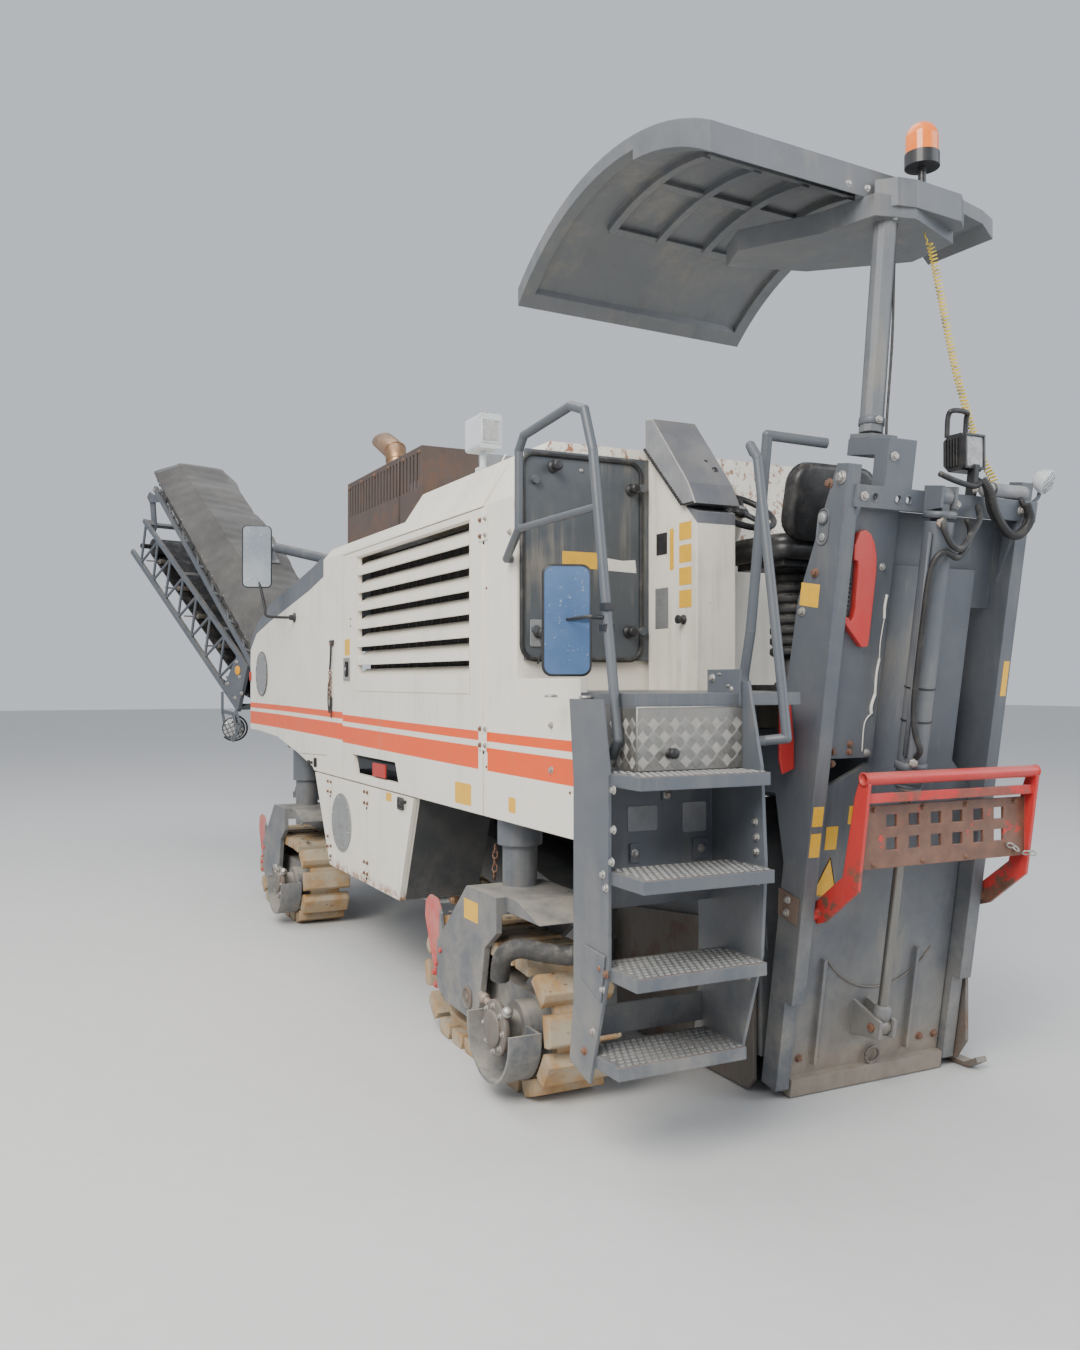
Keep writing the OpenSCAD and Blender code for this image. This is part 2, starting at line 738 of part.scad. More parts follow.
module handrails() {
    left = [[-200, side_y + seat_gap, 2120], [-200, 925, 2120], [-475, 1000, 2205],
            [-475, 1000, 2505], [-520, 1000, 2555],
            [-900, 1000, 2585], [-1000, 1000, 2550], [-1060, 1000, 2400], [-1180, 1000, 1700],
            [-1227, 1000, 1430], [-1190, 1000, 1380], [-1150, 1000, 1375],
            [-1150, ladder_y1 - 12 - seat_gap, 1375]];
    right = [[-1340, ladder_y0 - 12 - seat_gap, 1420], [-1340, 500, 1420], [-1395, 450, 1430],
             [-1370, 450, 1600], [-1240, 450, 2390], [-1200, 450, 2440], [-1150, 400, 2430]];
    tall = [[-1000, 330, deck_z + seat_gap], [-1000, 330, deck_z + 60], [-1040, 330, 1800],
            [-1140, 330, 2500], [-1200, 110, 2480]];
    color(slate) {
        bent_tube(left, rail_d);
        bar([-475, 1000, 2205], [-1094, 1000, 2205], rail_d * 0.8, 16);
        bent_tube(right, rail_d);
        bent_tube(tall, rail_d * 1.1);
    }
}

// Rear tower, scraper and guard, in a frame that leans with the scraper

rear_x = -870;
rear_z = 30;
module on_rear() {
    translate([rear_x, 0, rear_z]) rotate([0, -rear_lean, 0]) children();
}
blade_y0 = drum_y - scraper_w / 2;
blade_y1 = drum_y + scraper_w / 2;
// Inner faces of the rear tower's posts, and their width
post_left = blade_y1 + run_gap;
post_right = blade_y0 - run_gap;
post_w = 62;
plate_t = 22;
beam_s = 2290;
beam_back = -78;
cyl_y = -300;
cyl_x = -120;
gland_s = 1225;
rod_eye_s = 265;
top_eye_s = 2310;
// Half of the gap between the eye plates at each end of the scraper's cylinder
eye_half = 28;
bracket_top = 2505;
// Top of the scraper's narrow part, low enough to rise under the lamp
narrow_top = 2050;

module rear_tower() {
    left0 = post_left;
    right0 = post_right;
    flank = [[-70, 380], [60, 380], [60, 900], [150, 1150], [150, 1500], [130, 1900], [-10, 2400],
             [-70, 2400]];
    color(slate) on_rear() {
        // Flanks each side of the scraper
        slab_y(left0, left0 + post_w) polygon(flank);
        slab_y(right0 - post_w, right0) polygon(flank);
        // Cross-beam with its gussets and its row of holes
        difference() {
            block([beam_back, right0 - 90, beam_s - 40], [-8, left0 + 20, beam_s + 40]);
            for (y = [-20, -130, -180]) {
                translate([beam_back - 10, y, beam_s]) rotate([0, 90, 0]) cylinder(d = 26, h = 40);
            }
            block([beam_back + 12, right0 - 78, beam_s - 30], [0, left0 + 8, beam_s + 30]);
        }
        for (y = [left0 - 8, right0 - 10]) {
            slab_y(y, y + 18)
                polygon([[beam_back, beam_s - 40], [-8, beam_s - 40], [-8, beam_s - 290]]);
        }
        // Eye plates of the scraper's cylinder
        for (s = [-1, 1]) {
            slab_y(cyl_y + s * (eye_half + 6) - 6, cyl_y + s * (eye_half + 6) + 6)
                polygon([[cyl_x - 38, top_eye_s - 40], [cyl_x - 38, top_eye_s + 40],
                         [beam_back + 10, beam_s + 60],
                         [beam_back + 10, beam_s - 36]]);
        }
        // Mast bracket
        block([beam_back, -190, beam_s + 40 - eps], [-8, -60, bracket_top]);
        block([-9, -190, bracket_top - 60], [140, -60, bracket_top]);
    }
    // Lower posts down to the ground
    color(slate) on_rear() {
        block([-30, left0, 15], [60, left0 + post_w, 381]);
        block([-30, right0 - post_w, 15], [60, right0, 381]);
        // Cover beside the narrow upper blade
        block([-28, -190, scraper_wide_h + 80], [-6, left0 + eps, 2255]);
        // Back plate that closes the tower above the scraper
        block([plate_t + run_gap, right0 - 10, 1900], [plate_t + run_gap + 6, left0 + 10, 2250]);
    }
    // Brackets forward to the chassis
    color(slate)
        for (y = [left0, right0 - post_w]) {
            block([-1020, y, 1190], [frame_back - seat_gap, y + post_w, 1380]);
        }
}

module scraper_barrel() {
    color(slate) on_rear() {
        translate([cyl_x, cyl_y, gland_s])
            difference() {
                cylinder(d = cyl_d, h = top_eye_s - gland_s - 90);
                translate([0, 0, -eps]) cylinder(d = rod_d + 0.1, h = 60);
                translate([0, 0, 50]) cylinder(d = cyl_d - 26, h = top_eye_s - gland_s - 190);
            }
        translate([cyl_x, cyl_y, top_eye_s]) rotate([90, 0, 0])
            cylinder(d = 70, h = 2 * (eye_half - seat_gap), center = true);
        translate([cyl_x - 25, cyl_y - 20, top_eye_s - 92]) cube([50, 40, 70]);
    }
}

module scraper_rod() {
    color([0.75, 0.76, 0.78]) on_rear() {
        translate([cyl_x, cyl_y, rod_eye_s]) cylinder(d = rod_d, h = gland_s - rod_eye_s + 110);
        translate([cyl_x, cyl_y, rod_eye_s]) rotate([90, 0, 0])
            cylinder(d = 66, h = 2 * (eye_half - seat_gap), center = true);
    }
}

module scraper_plate() {
    color(slate) on_rear() {
        slab_x(0, plate_t)
            polygon([[blade_y0, 50], [blade_y1, 50], [blade_y1, scraper_wide_h - 60],
                     [-200, scraper_wide_h + 50], [-200, narrow_top], [-640, narrow_top],
                     [-640, scraper_wide_h + 50],
                     [blade_y0, scraper_wide_h - 60]]);
        // Clevis for the cylinder
        for (s = [-1, 1]) {
            slab_y(cyl_y + s * (eye_half + 8) - 8, cyl_y + s * (eye_half + 8) + 8)
                polygon([[1, 190], [cyl_x - 40, 230], [cyl_x - 40, 300], [1, 330]]);
        }
        // Stiffening ribs
        for (y = [-560, -80]) {
            block([-22, y - 8, 90], [1, y + 8, 520]);
        }
    }
    color(rust) on_rear() {
        block([-34, blade_y0, -20], [plate_t + 6, blade_y1, 51]);
    }
}

// Red guard frame behind the scraper, hinged at its feet
guard_pin = [-1030, 740];
module guard_frame() {
    y0 = -853;
    y1 = 18;
    top = [-1290, 1268];
    post = [[-1312, 1250], [-1270, 1275], [-1240, 1200], [-1175, 900], [-1020, 780], [-1000, 740],
            [-1030, 700],
            [-1075, 715], [-1255, 860]];
    color(red) {
        // Hinge bosses that reach the rear tower's posts
        translate([guard_pin[0], y1 - 14, guard_pin[1]]) rotate([-90, 0, 0])
            cylinder(d = 44, h = post_left - y1 + 14 - seat_gap);
        translate([guard_pin[0], y0 + 1, guard_pin[1]]) rotate([-90, 0, 0])
            cylinder(d = 44, h = post_right - post_w - y0 - 1 - seat_gap);
        translate([top[0], y0, top[1]]) rotate([-90, 0, 0]) cylinder(d = 46, h = y1 - y0);
        for (y = [y0, y1 - 14]) {
            slab_y(y, y + 14) polygon(post);
        }
        block([-1292, y0 + 1, 1180], [-1280, y1 - 1, 1215]);
    }
    color(rust)
        difference() {
            block([-1252, y0 + 1, 935], [-1240, y1 - 1, 1165]);
            for (i = [0:5]) {
                for (j = [0:1]) {
                    y = y0 + 130 + i * 110;
                    block([-1270, y, 1000 + j * 85], [-1240 + eps, y + 52, 1045 + j * 85]);
                }
            }
        }
}

// Milling unit

wall_in = 25;
wall_t = 30;
shaft_r = 80;
shaft_fit = 0.05;
module drum_housing() {
    r_in = drum_d / 2 + 28;
    r_out = r_in + 16;
    y0 = drum_y - drum_w / 2 - wall_in;
    y1 = drum_y + drum_w / 2 + wall_in;
    wall = [[-r_out, 150], [r_out, 150], [r_out, drum_z], [r_out * cos(30), drum_z + r_out * sin(30)],
            [r_out * cos(60), drum_z + r_out * sin(60)], [0, drum_z + r_out],
            [-r_out * cos(60), drum_z + r_out * sin(60)], [-r_out * cos(30), drum_z + r_out * sin(30)],
            [-r_out, drum_z]];
    color(slate) translate([drum_x, 0, 0]) {
        slab_y(y0, y1)
            difference() {
                union() {
                    translate([0, drum_z]) circle(r = r_out, $fn = 64);
                    translate([-r_out, 150]) square([2 * r_out, drum_z - 150]);
                }
                translate([0, drum_z]) circle(r = r_in, $fn = 64);
                translate([-r_in, 140]) square([2 * r_in, drum_z - 140]);
                translate([-r_out - 10, -10]) square([2 * r_out + 20, 160]);
            }
        for (y = [y0 - wall_t, y1]) {
            slab_y(y, y + wall_t) polygon(wall);
        }
        // Stub shafts that carry the drum
        for (s = [-1, 1]) {
            translate([0, drum_y + s * (drum_w / 2 + wall_in + 1), drum_z]) rotate([90 * s, 0, 0])
                cylinder(r = shaft_r, h = wall_in + 60);
        }
        // Guide strips for the side plates
        for (x = [-330, 270]) {
            block([x, y1 + wall_t - eps, 220], [x + 60, y1 + wall_t + plate_lift_gap - seat_gap, 520]);
            block([x, y0 - wall_t - plate_lift_gap + seat_gap, 220], [x + 60, y0 - wall_t + eps, 520]);
        }
        // Hangers up to the frame
        for (x = [-380, 330]) {
            block([x, y0 - wall_t, drum_z + 300], [x + 60, y0, beam_lo - seat_gap]);
            block([x, y1, drum_z + 300], [x + 60, y1 + wall_t, beam_lo - seat_gap]);
        }
        block([-380, -600, beam_lo - 40 - seat_gap], [390, -520, beam_lo - seat_gap]);
        block([-380, y1, beam_lo - 40 - seat_gap], [-300, 600, beam_lo - seat_gap]);
        block([310, y1, beam_lo - 40 - seat_gap], [390, 600, beam_lo - seat_gap]);
    }
}

module milling_drum() {
    body_r = drum_d / 2 - 95;
    color(steel) translate([drum_x, drum_y, drum_z]) rotate([90, 0, 0]) {
        difference() {
            cylinder(r = body_r, h = drum_w, center = true, $fn = 64);
            cylinder(r = body_r - 24, h = drum_w - 50, center = true, $fn = 64);
            cylinder(r = shaft_r + shaft_fit, h = drum_w + 10, center = true);
        }
        count = tools_per_turn * tool_turns;
        for (i = [0:count - 1]) {
            a = i * 360 / tools_per_turn;
            side = i < count / 2 ? 1 : -1;
            z = -drum_w / 2 + 40 + i * (drum_w - 80) / (count - 1);
            translate([0, 0, z]) rotate([0, 0, a * side])
                translate([body_r - 3, 0, 0]) {
                    translate([0, -28, -17]) cube([48, 56, 34]);
                    translate([40, 0, 0]) rotate([0, 90, 30]) cylinder(d1 = 30, d2 = 12, h = 58, $fn = 14);
                }
        }
    }
}

plate_lift_gap = 12;
module side_plate_right() {
    y = drum_y - drum_w / 2 - wall_in - wall_t - plate_lift_gap;
    color(slate) {
        slab_y(y - 16, y)
            polygon([[-960, 120], [-900, 30], [-830, 12], [250, 12], [330, 60], [330, 640],
                     [-500, 700], [-960, 640]]);
        slab_y(y - 70, y - 15)
            polygon([[-1010, 40], [-960, 8], [280, 8], [280, 24], [-940, 24], [-1000, 60]]);
    }
}
module side_plate_left() {
    y = drum_y + drum_w / 2 + wall_in + wall_t + plate_lift_gap;
    color(slate)
        slab_y(y, y + 16)
            polygon([[-800, 60], [-760, 12], [200, 12], [256, 60], [256, 560], [-500, 640], [-800, 560]]);
}

// Collecting conveyor from the drum to the nose
module primary_conveyor() {
    y0 = -330;
    y1 = 230;
    t = 14;
    long = norm(chute_to - chute_from);
    translate([chute_from[0], 0, chute_from[1]]) rotate([0, -chute_rise, 0]) {
        color(slate)
            difference() {
                block([0, y0, -110], [long, y1, chute_h]);
                block([-eps, y0 + t, -98], [long + eps, y1 - t, chute_h + 1]);
            }
        color(black)
            block([20, y0 + t + 6, -98 - eps], [long - 20, y1 - t - 6, 30]);
    }
}

// Canopy

// Lower face, height and tongue's upper face of the arm that carries the roof
arm_z = 3395;
arm_h = 106;
arm_tongue_z = 3438;
mast_foot = [-1178, -118, 2540];
mast_head = [-1150, -225, 3425];
module canopy_mast() {
    color(slate) {
        bar(mast_foot, mast_head, mast_d, 12);
        on_rear() block([20, -185, bracket_top + seat_gap], [140, -65, bracket_top + 20]);
        // Bent plate arm: a box behind the roof's rear edge and a tongue under it
        translate([0, 0, arm_z]) linear_extrude(arm_h)
            polygon([[-1165, -150], [-1225, -210], [-1240, -290], [-1220, -540], [-1175, -600], [-1135, -600],
                     [-1152, -250]]);
        translate([0, 0, arm_z - 40]) linear_extrude(arm_tongue_z - arm_z + 40)
            polygon([[-1190, -130], [-1235, -290], [-1120, -600], [-900, -600], [-620, -280], [-520, 60],
                     [-680, 120], [-960, -60]]);
    }
}

canopy_c = [-613, 2515];
canopy_yaw = 3.3;
module canopy_at() {
    translate([-1188, 611, 0]) rotate([0, 0, canopy_yaw]) translate([1188, -611, 0]) children();
}
module canopy_shell() {
    y1 = 611;
    y0 = y1 - canopy_w;
    x0 = -1188;
    x1 = 190;
    lip = 96;
    // In front of this place the roof's edge is shallower
    shallow_x = -720;
    shallow_lip = 56;
    rib_w = 36;
    rib_depth = 62;
    // How far the ribs reach into the roof's sheet
    rib_root = 6;
    // Ribs under the roof, as parts of its width, and the angles of those across it
    rib_places = [0.2, 0.4, 0.6, 0.8];
    rib_angles = [-12, 5, 22];
    color(slate) canopy_at() {
        for (f = rib_places) {
            y = y0 + f * (y1 - y0);
            slab_y(y - rib_w / 2, y + rib_w / 2)
                intersection() {
                    difference() {
                        translate(canopy_c) circle(r = canopy_r - canopy_t + rib_root, $fn = 240);
                        translate(canopy_c) circle(r = canopy_r - rib_depth, $fn = 240);
                    }
                    polygon([canopy_c, canopy_c + 1600 * [sin(rib_angles[0]), cos(rib_angles[0])],
                             canopy_c + 1600 * [sin(rib_angles[2]), cos(rib_angles[2])]]);
                }
        }
        for (a = rib_angles) {
            translate([canopy_c[0], 0, canopy_c[1]]) rotate([0, a, 0])
                block([-rib_w / 2, y0 + rib_places[0] * (y1 - y0), canopy_r - rib_depth + 8],
                      [rib_w / 2, y0 + rib_places[3] * (y1 - y0), canopy_r - canopy_t + rib_root]);
        }
        difference() {
            slab_y(y0, y1)
                intersection() {
                    difference() {
                        translate(canopy_c) circle(r = canopy_r, $fn = 240);
                        translate(canopy_c) circle(r = canopy_r - lip, $fn = 240);
                    }
                    translate([x0, canopy_c[1]]) square([x1 - x0, canopy_r + 10]);
                }
            slab_y(y0 + 60, y1 - 60)
                intersection() {
                    difference() {
                        translate(canopy_c) circle(r = canopy_r - canopy_t, $fn = 240);
                        translate(canopy_c) circle(r = canopy_r - lip - 20, $fn = 240);
                    }
                    translate([x0 + 50, canopy_c[1]]) square([x1 - x0 - 100, canopy_r + 10]);
                }
            slab_y(y0 - 1, y1 + 1)
                intersection() {
                    difference() {
                        translate(canopy_c) circle(r = canopy_r - shallow_lip, $fn = 240);
                        translate(canopy_c) circle(r = canopy_r - lip - 20, $fn = 240);
                    }
                    translate([shallow_x, canopy_c[1]]) square([x1 - shallow_x + 10, canopy_r + 10]);
                }
        }
        // Wing at the right rear
        slab_x(x0, x0 + 330)
            polygon([[y0 + 1, 3545], [y0 - 130, 3525], [y0 - 190, 3500], [y0 - 190, 3420], [y0 - 165, 3440],
                     [y0 - 130, 3470], [y0 + 1, 3490]]);
    }
}

module beacon() {
    base = [-1205, -350, 3501];
    color(black)
        translate(base) {
            cylinder(d = 30, h = 80);
            translate([0, 0, 70]) cylinder(d = 130, h = 50);
        }
    color("orange")
        translate(base + [0, 0, 120]) {
            cylinder(d = 122, h = 60);
            translate([0, 0, 60]) sphere(d = 122.5);
        }
}

module lamps() {
    color(black) {
        block([-1280, -595, 2420], [-1170, -485, 2570]);
        on_rear() block([-45, -550, beam_s + 40 + seat_gap], [-8, -530, beam_s + 150]);
        translate([560, 700, hood_z + seat_gap]) cylinder(d = 26, h = 110);
        block([470, 640, hood_z + 100], [650, 760, hood_z + 280]);
    }
}

module mirrors() {
    color(black) {
        translate([-1010, 1075, 1825]) rotate([0, 0, -20]) block([-18, -85, -190], [18, 85, 190]);
        bar([-1158, 1000 + rail_d / 2 + seat_gap, 1830], [-1158, 1064, 1830], 18, 8);
        bar([-1170, 1055, 1833], [-1010, 1070, 1826], 20, 8);
        translate([3420, 1150, 2475]) rotate([0, 0, -15]) block([-18, -100, -215], [18, 100, 215]);
        bar([3370, side_y + seat_gap, 2060], [3370, 1108, 2060], 22, 8);
        bar([3367, 1095, 2045], [3402, 1130, 2275], 24, 8);
    }
}

module red_hooks() {
    color(red) {
        on_rear() slab_x(-58, -28 - seat_gap)
            polygon([[-40, 2190], [20, 2120], [25, 1900], [40, 1760], [0, 1740], [-50, 1850],
                     [-80, 2000], [-80, 2130]]);
        slab_x(-1020, -1008)
            translate([post_left + post_w + seat_gap, 0])
                polygon([[0, 1290], [70, 1270], [85, 1330], [65, 1570], [15, 1560], [0, 1400]]);
    }
}

hose_top = 1130;
module leg_hose() {
    points = [[-430, 650, hose_top - seat_gap], [-430, 650, 1080], [-455, 665, 1030], [-530, 700, 960],
              [-640, 730, 880], [-690, 760, 760], [-700, 790, 640], [-650, 850, 590], [-570, 930, 590],
              [-500, 1010, 600], [-440, 1050, 560],
              [-410, 1050, 470]];
    color(black) soft_tube(points, 78);
}

module coil_cord() {
    points = [[-1150, -420, arm_z - 40 - seat_gap], [-1150, -420, arm_z - 60], [-1155, -450, 3290],
              [-1160, -490, 3130], [-1165, -530, 2960], [-1172, -570, 2800], [-1182, -620, 2650],
              [-1205, -660, 2500], [-1250, -675, 2400], [-1266, -675, 2335]];
    color("gold") soft_tube(points, 34);
}

// Loading conveyor

pivot_x = 5000;
pivot_z = 1090;
cover_edge = 30;
// Fold hinge: past the end of the rear section and below it
fold_s = conv_rear_len + 55;
fold_n = -360;
fold_pin_d = 36;
module on_slew() {
    translate([pivot_x, 0, 0]) rotate([0, 0, conv_slew]) children();
}
// Frame of the rear section: x along it, z across it, from its lower pivot
module on_rear_section() {
    on_slew() translate([0, 0, pivot_z]) rotate([0, -conv_rise, 0]) children();
}
// Frame of the folded front section: x towards its head, z towards its belt side
module on_front_section() {
    on_rear_section() translate([fold_s, 0, fold_n]) rotate([0, 180 + conv_fold, 0]) children();
}

tower_top = 2620;
luff_lug = 36;
pivot_d = 60;
module slew_frame() {
    half = conv_w / 2 + 16;
    color(slate) on_slew() {
        for (s = [-1, 1]) {
            difference() {
                slab_y(s * (half + 10) - 10, s * (half + 10) + 10)
                    polygon([[-60, 900], [90, 900], [130, 1180], [110, 1700], [20, 1700], [-60, 1300]]);
                translate([0, s * (half + 10), pivot_z]) rotate([90, 0, 0])
                    cylinder(d = pivot_d + 2 * leg_fit, h = 40, center = true);
            }
        }
        // Base under the section's lower end
        block([-120, -half - 20, 640], [200, half + 20, 690]);
        for (s = [-1, 1]) {
            slab_y(s * (half + 10) - 10, s * (half + 10) + 10)
                polygon([[-120, 640], [200, 640], [90, 901], [-60, 901]]);
        }
        // Tower for the lifting cylinder
        block([40, -half - 20, 1640], [105, half + 20, 1700]);
        for (s = [-1, 1]) {
            bar([72, s * 95, 1690], [-15, s * 95, tower_top - 30], 70, 16);
        }
        for (s = [-1, 1]) {
            slab_y(s * (luff_lug + 16) - 16, s * (luff_lug + 16) + 16)
                polygon([[-60, tower_top - 60], [50, tower_top - 60], [50, tower_top + 50],
                         [-60, tower_top + 50]]);
        }
        translate([0, 0, 560]) cylinder(d = 180, h = 81);
    }
}

luff_pin_s = 2200;
luff_pin_n = 350;
luff_pin = [(luff_pin_s - luff_pin_n) * sin(45), pivot_z + (luff_pin_s + luff_pin_n) * sin(45)];
luff_angle = atan2(luff_pin[1] - tower_top, luff_pin[0]);
luff_len = norm([luff_pin[0], luff_pin[1] - tower_top]);
barrel_len = 1150;
barrel_d = 90;
luff_rod_d = 45;
module on_luff() {
    on_slew() translate([0, 0, tower_top]) rotate([0, -luff_angle, 0]) children();
}
module luff_barrel() {
    color(slate) on_luff() {
        difference() {
            translate([75, 0, 0]) rotate([0, 90, 0]) cylinder(d = barrel_d, h = barrel_len - 75);
            translate([100, 0, 0]) rotate([0, 90, 0]) cylinder(d = barrel_d - 24, h = barrel_len - 160);
            translate([barrel_len - 70, 0, 0]) rotate([0, 90, 0]) cylinder(d = luff_rod_d + 0.1, h = 80);
        }
        rotate([90, 0, 0]) cylinder(d = 70, h = 2 * (luff_lug - seat_gap), center = true);
        block([0, -22, -22], [80, 22, 22]);
    }
}
module luff_rod() {
    color(steel) on_luff() {
        translate([250, 0, 0]) rotate([0, 90, 0]) cylinder(d = luff_rod_d, h = luff_len - 250);
        translate([luff_len, 0, 0]) rotate([90, 0, 0]) cylinder(d = 64, h = 44, center = true);
    }
}

// Lattice side of a section: length, depth, number of bays
module lattice(long, depth, bays, t) {
    bay = long / bays;
    for (i = [0:bays - 1]) {
        bar([i * bay, 0, 0], [(i + 0.5) * bay, 0, depth], t, 12);
        bar([(i + 0.5) * bay, 0, depth], [(i + 1) * bay, 0, 0], t, 12);
    }
}

module conveyor_rear_frame() {
    y = conv_w / 2 - 20;
    color(slate) on_rear_section() {
        for (s = [-1, 1]) {
            block([-60, s * y - 18, -70], [conv_rear_len - 60, s * y + 18, -seat_gap]);
            block([150, s * y - 18, -conv_depth], [conv_rear_len - 60, s * y + 18, -conv_depth + 50]);
            translate([180, s * y, -conv_depth + 30]) lattice(conv_rear_len - 300, conv_depth - 60, 9, 26);
            slab_y(s * y - 18, s * y + 18)
                polygon([[-120, -70], [60, -conv_depth * 0.8], [180, -conv_depth], [260, -conv_depth],
                         [260, -60], [-60, -60]]);
        }
        for (i = [0:3]) {
            x = 200 + i * (conv_rear_len - 400) / 3;
            block([x, -y, -conv_depth + 2], [x + 50, y, -conv_depth + 22]);
        }
        // Hinge ears of the fold and ears of the lifting cylinder
        difference() {
            for (s = [-1, 1]) {
                slab_y(s * (y - 60) - 10, s * (y - 60) + 10)
                    polygon([[fold_s - 300, -conv_depth], [fold_s - 300, -conv_depth + 100],
                             [fold_s - 40, -300], [fold_s + 35, fold_n + 35], [fold_s + 35, fold_n - 35],
                             [fold_s - 40, fold_n - 40]]);
            }
            translate([fold_s, 0, fold_n]) rotate([90, 0, 0])
                cylinder(d = fold_pin_d + 2 * leg_fit, h = conv_w, center = true);
        }
        for (s = [-1, 1]) {
            translate([0, s * (conv_w / 2 + 20), 0]) rotate([90, 0, 0])
                cylinder(d = pivot_d, h = 48, center = true);
        }
    }
}

module conveyor_rear_cover() {
    half = conv_w / 2 + cover_edge;
    // Sections of the cover: place along it, height, half-width of the top
    cuts = [[400, 255, 270], [conv_rear_len - 1200, 255, 270], [conv_rear_len - 20, 150, 250]];
    t = 10;
    color(tarp) on_rear_section() {
        difference() {
            union() {
                slab_x(cuts[0][0], cuts[1][0])
                    polygon([[-half, 0], [half, 0], [cuts[0][2], cuts[0][1]], [-cuts[0][2], cuts[0][1]]]);
                hull() {
                    slab_x(cuts[1][0] - 1, cuts[1][0])
                        polygon([[-half, 0], [half, 0], [cuts[1][2], cuts[1][1]], [-cuts[1][2], cuts[1][1]]]);
                    slab_x(cuts[2][0] - 1, cuts[2][0])
                        polygon([[-half, 0], [half, 0], [cuts[2][2], cuts[2][1]], [-cuts[2][2], cuts[2][1]]]);
                }
            }
            slab_x(cuts[0][0] - 1, cuts[2][0] + 1)
                polygon([[-half + 45, -1], [half - 45, -1], [230, 135], [-230, 135]]);
        }
        // Ears for the lifting cylinder's rod
        for (s = [-1, 1]) {
            slab_y(s * 42 - 8, s * 42 + 8)
                polygon([[luff_pin_s - 120, 254], [luff_pin_s + 120, 254], [luff_pin_s + 40, luff_pin_n + 40],
                         [luff_pin_s - 40, luff_pin_n + 40]]);
        }
    }
}

belt_t = 14;
shaft_d = 50;
module conveyor_rear_belt() {
    // Lower face of the upper run and diameter of the end rollers
    run_n = -50;
    roll_d = conv_depth - 85;
    color(black) on_rear_section() {
        block([0, -belt_w / 2, run_n], [conv_rear_len - 80, belt_w / 2, run_n + belt_t]);
        block([0, -belt_w / 2, run_n - roll_d], [conv_rear_len - 80, belt_w / 2, run_n - roll_d + belt_t]);
        for (x = [0, conv_rear_len - 80]) {
            translate([x, 0, run_n - roll_d / 2 + belt_t / 2]) rotate([90, 0, 0]) {
                cylinder(d = roll_d, h = belt_w, center = true);
                cylinder(d = shaft_d, h = conv_w - 76 - 2 * seat_gap, center = true);
            }
        }
    }
}

front_lo = 175;
front_hi = 600;
module conveyor_front_frame() {
    y = conv_w / 2 - 20;
    color(slate) on_front_section() {
        for (s = [-1, 1]) {
            block([150, s * y - 18, front_lo], [conv_front_len - 120, s * y + 18, front_lo + 40]);
            block([130, s * y - 18, front_hi - 45], [conv_front_len, s * y + 18, front_hi]);
            translate([200, s * y, front_lo + 30])
                lattice(conv_front_len - 500, front_hi - front_lo - 60, 7, 26);
            slab_y(s * y - 18, s * y + 18)
                polygon([[conv_front_len - 320, front_lo], [conv_front_len - 120, front_lo],
                         [conv_front_len, front_hi - 20], [conv_front_len - 320, front_hi - 20]]);
            // Arms to the fold's hinge
            slab_y(s * (y - 85) - 10, s * (y - 85) + 10)
                polygon([[-30, -30], [30, -30], [260, front_lo + 20], [260, front_lo + 120], [-30, 40]]);
            translate([0, s * (y - 70), 0]) rotate([90, 0, 0])
                cylinder(d = fold_pin_d, h = 44, center = true);
            block([160, min(s * (y - 95), s * y), front_lo], [200, max(s * (y - 95), s * y), front_lo + 40]);
        }
        for (x = [200, 1100, 2000, conv_front_len - 200]) {
            block([x, -y, front_lo + 2], [x + 45, y, front_lo + 38]);
        }
        // Head lamp and its hoop
        translate([conv_front_len + 40, 0, front_hi + 70]) rotate([0, 90, 0])
            cylinder(d = 190, h = 70, center = true);
        block([conv_front_len - 60, -30, front_hi - 46], [conv_front_len + 20, 30, front_hi + 60]);
        block([conv_front_len - 60, -y, front_hi - 44], [conv_front_len - 20, y, front_hi - 4]);
    }
}

module conveyor_front_belt() {
    // Lower face of the upper run and diameter of the end rollers
    run_m = front_hi - 70;
    roll_d = 170;
    color(black) on_front_section() {
        block([220, -belt_w / 2, run_m], [conv_front_len - 90, belt_w / 2, run_m + belt_t]);
        block([220, -belt_w / 2, run_m - roll_d], [conv_front_len - 90, belt_w / 2, run_m - roll_d + belt_t]);
        for (x = [220, conv_front_len - 90]) {
            translate([x, 0, run_m - roll_d / 2 + belt_t / 2]) rotate([90, 0, 0]) {
                cylinder(d = roll_d, h = belt_w, center = true);
                cylinder(d = shaft_d, h = conv_w - 76 - 2 * seat_gap, center = true);
            }
        }
    }
}

// Everything is moved so that the origin lies under the middle of the whole machine
module placed() {
    translate([-origin_x, -origin_y, 0]) children();
}

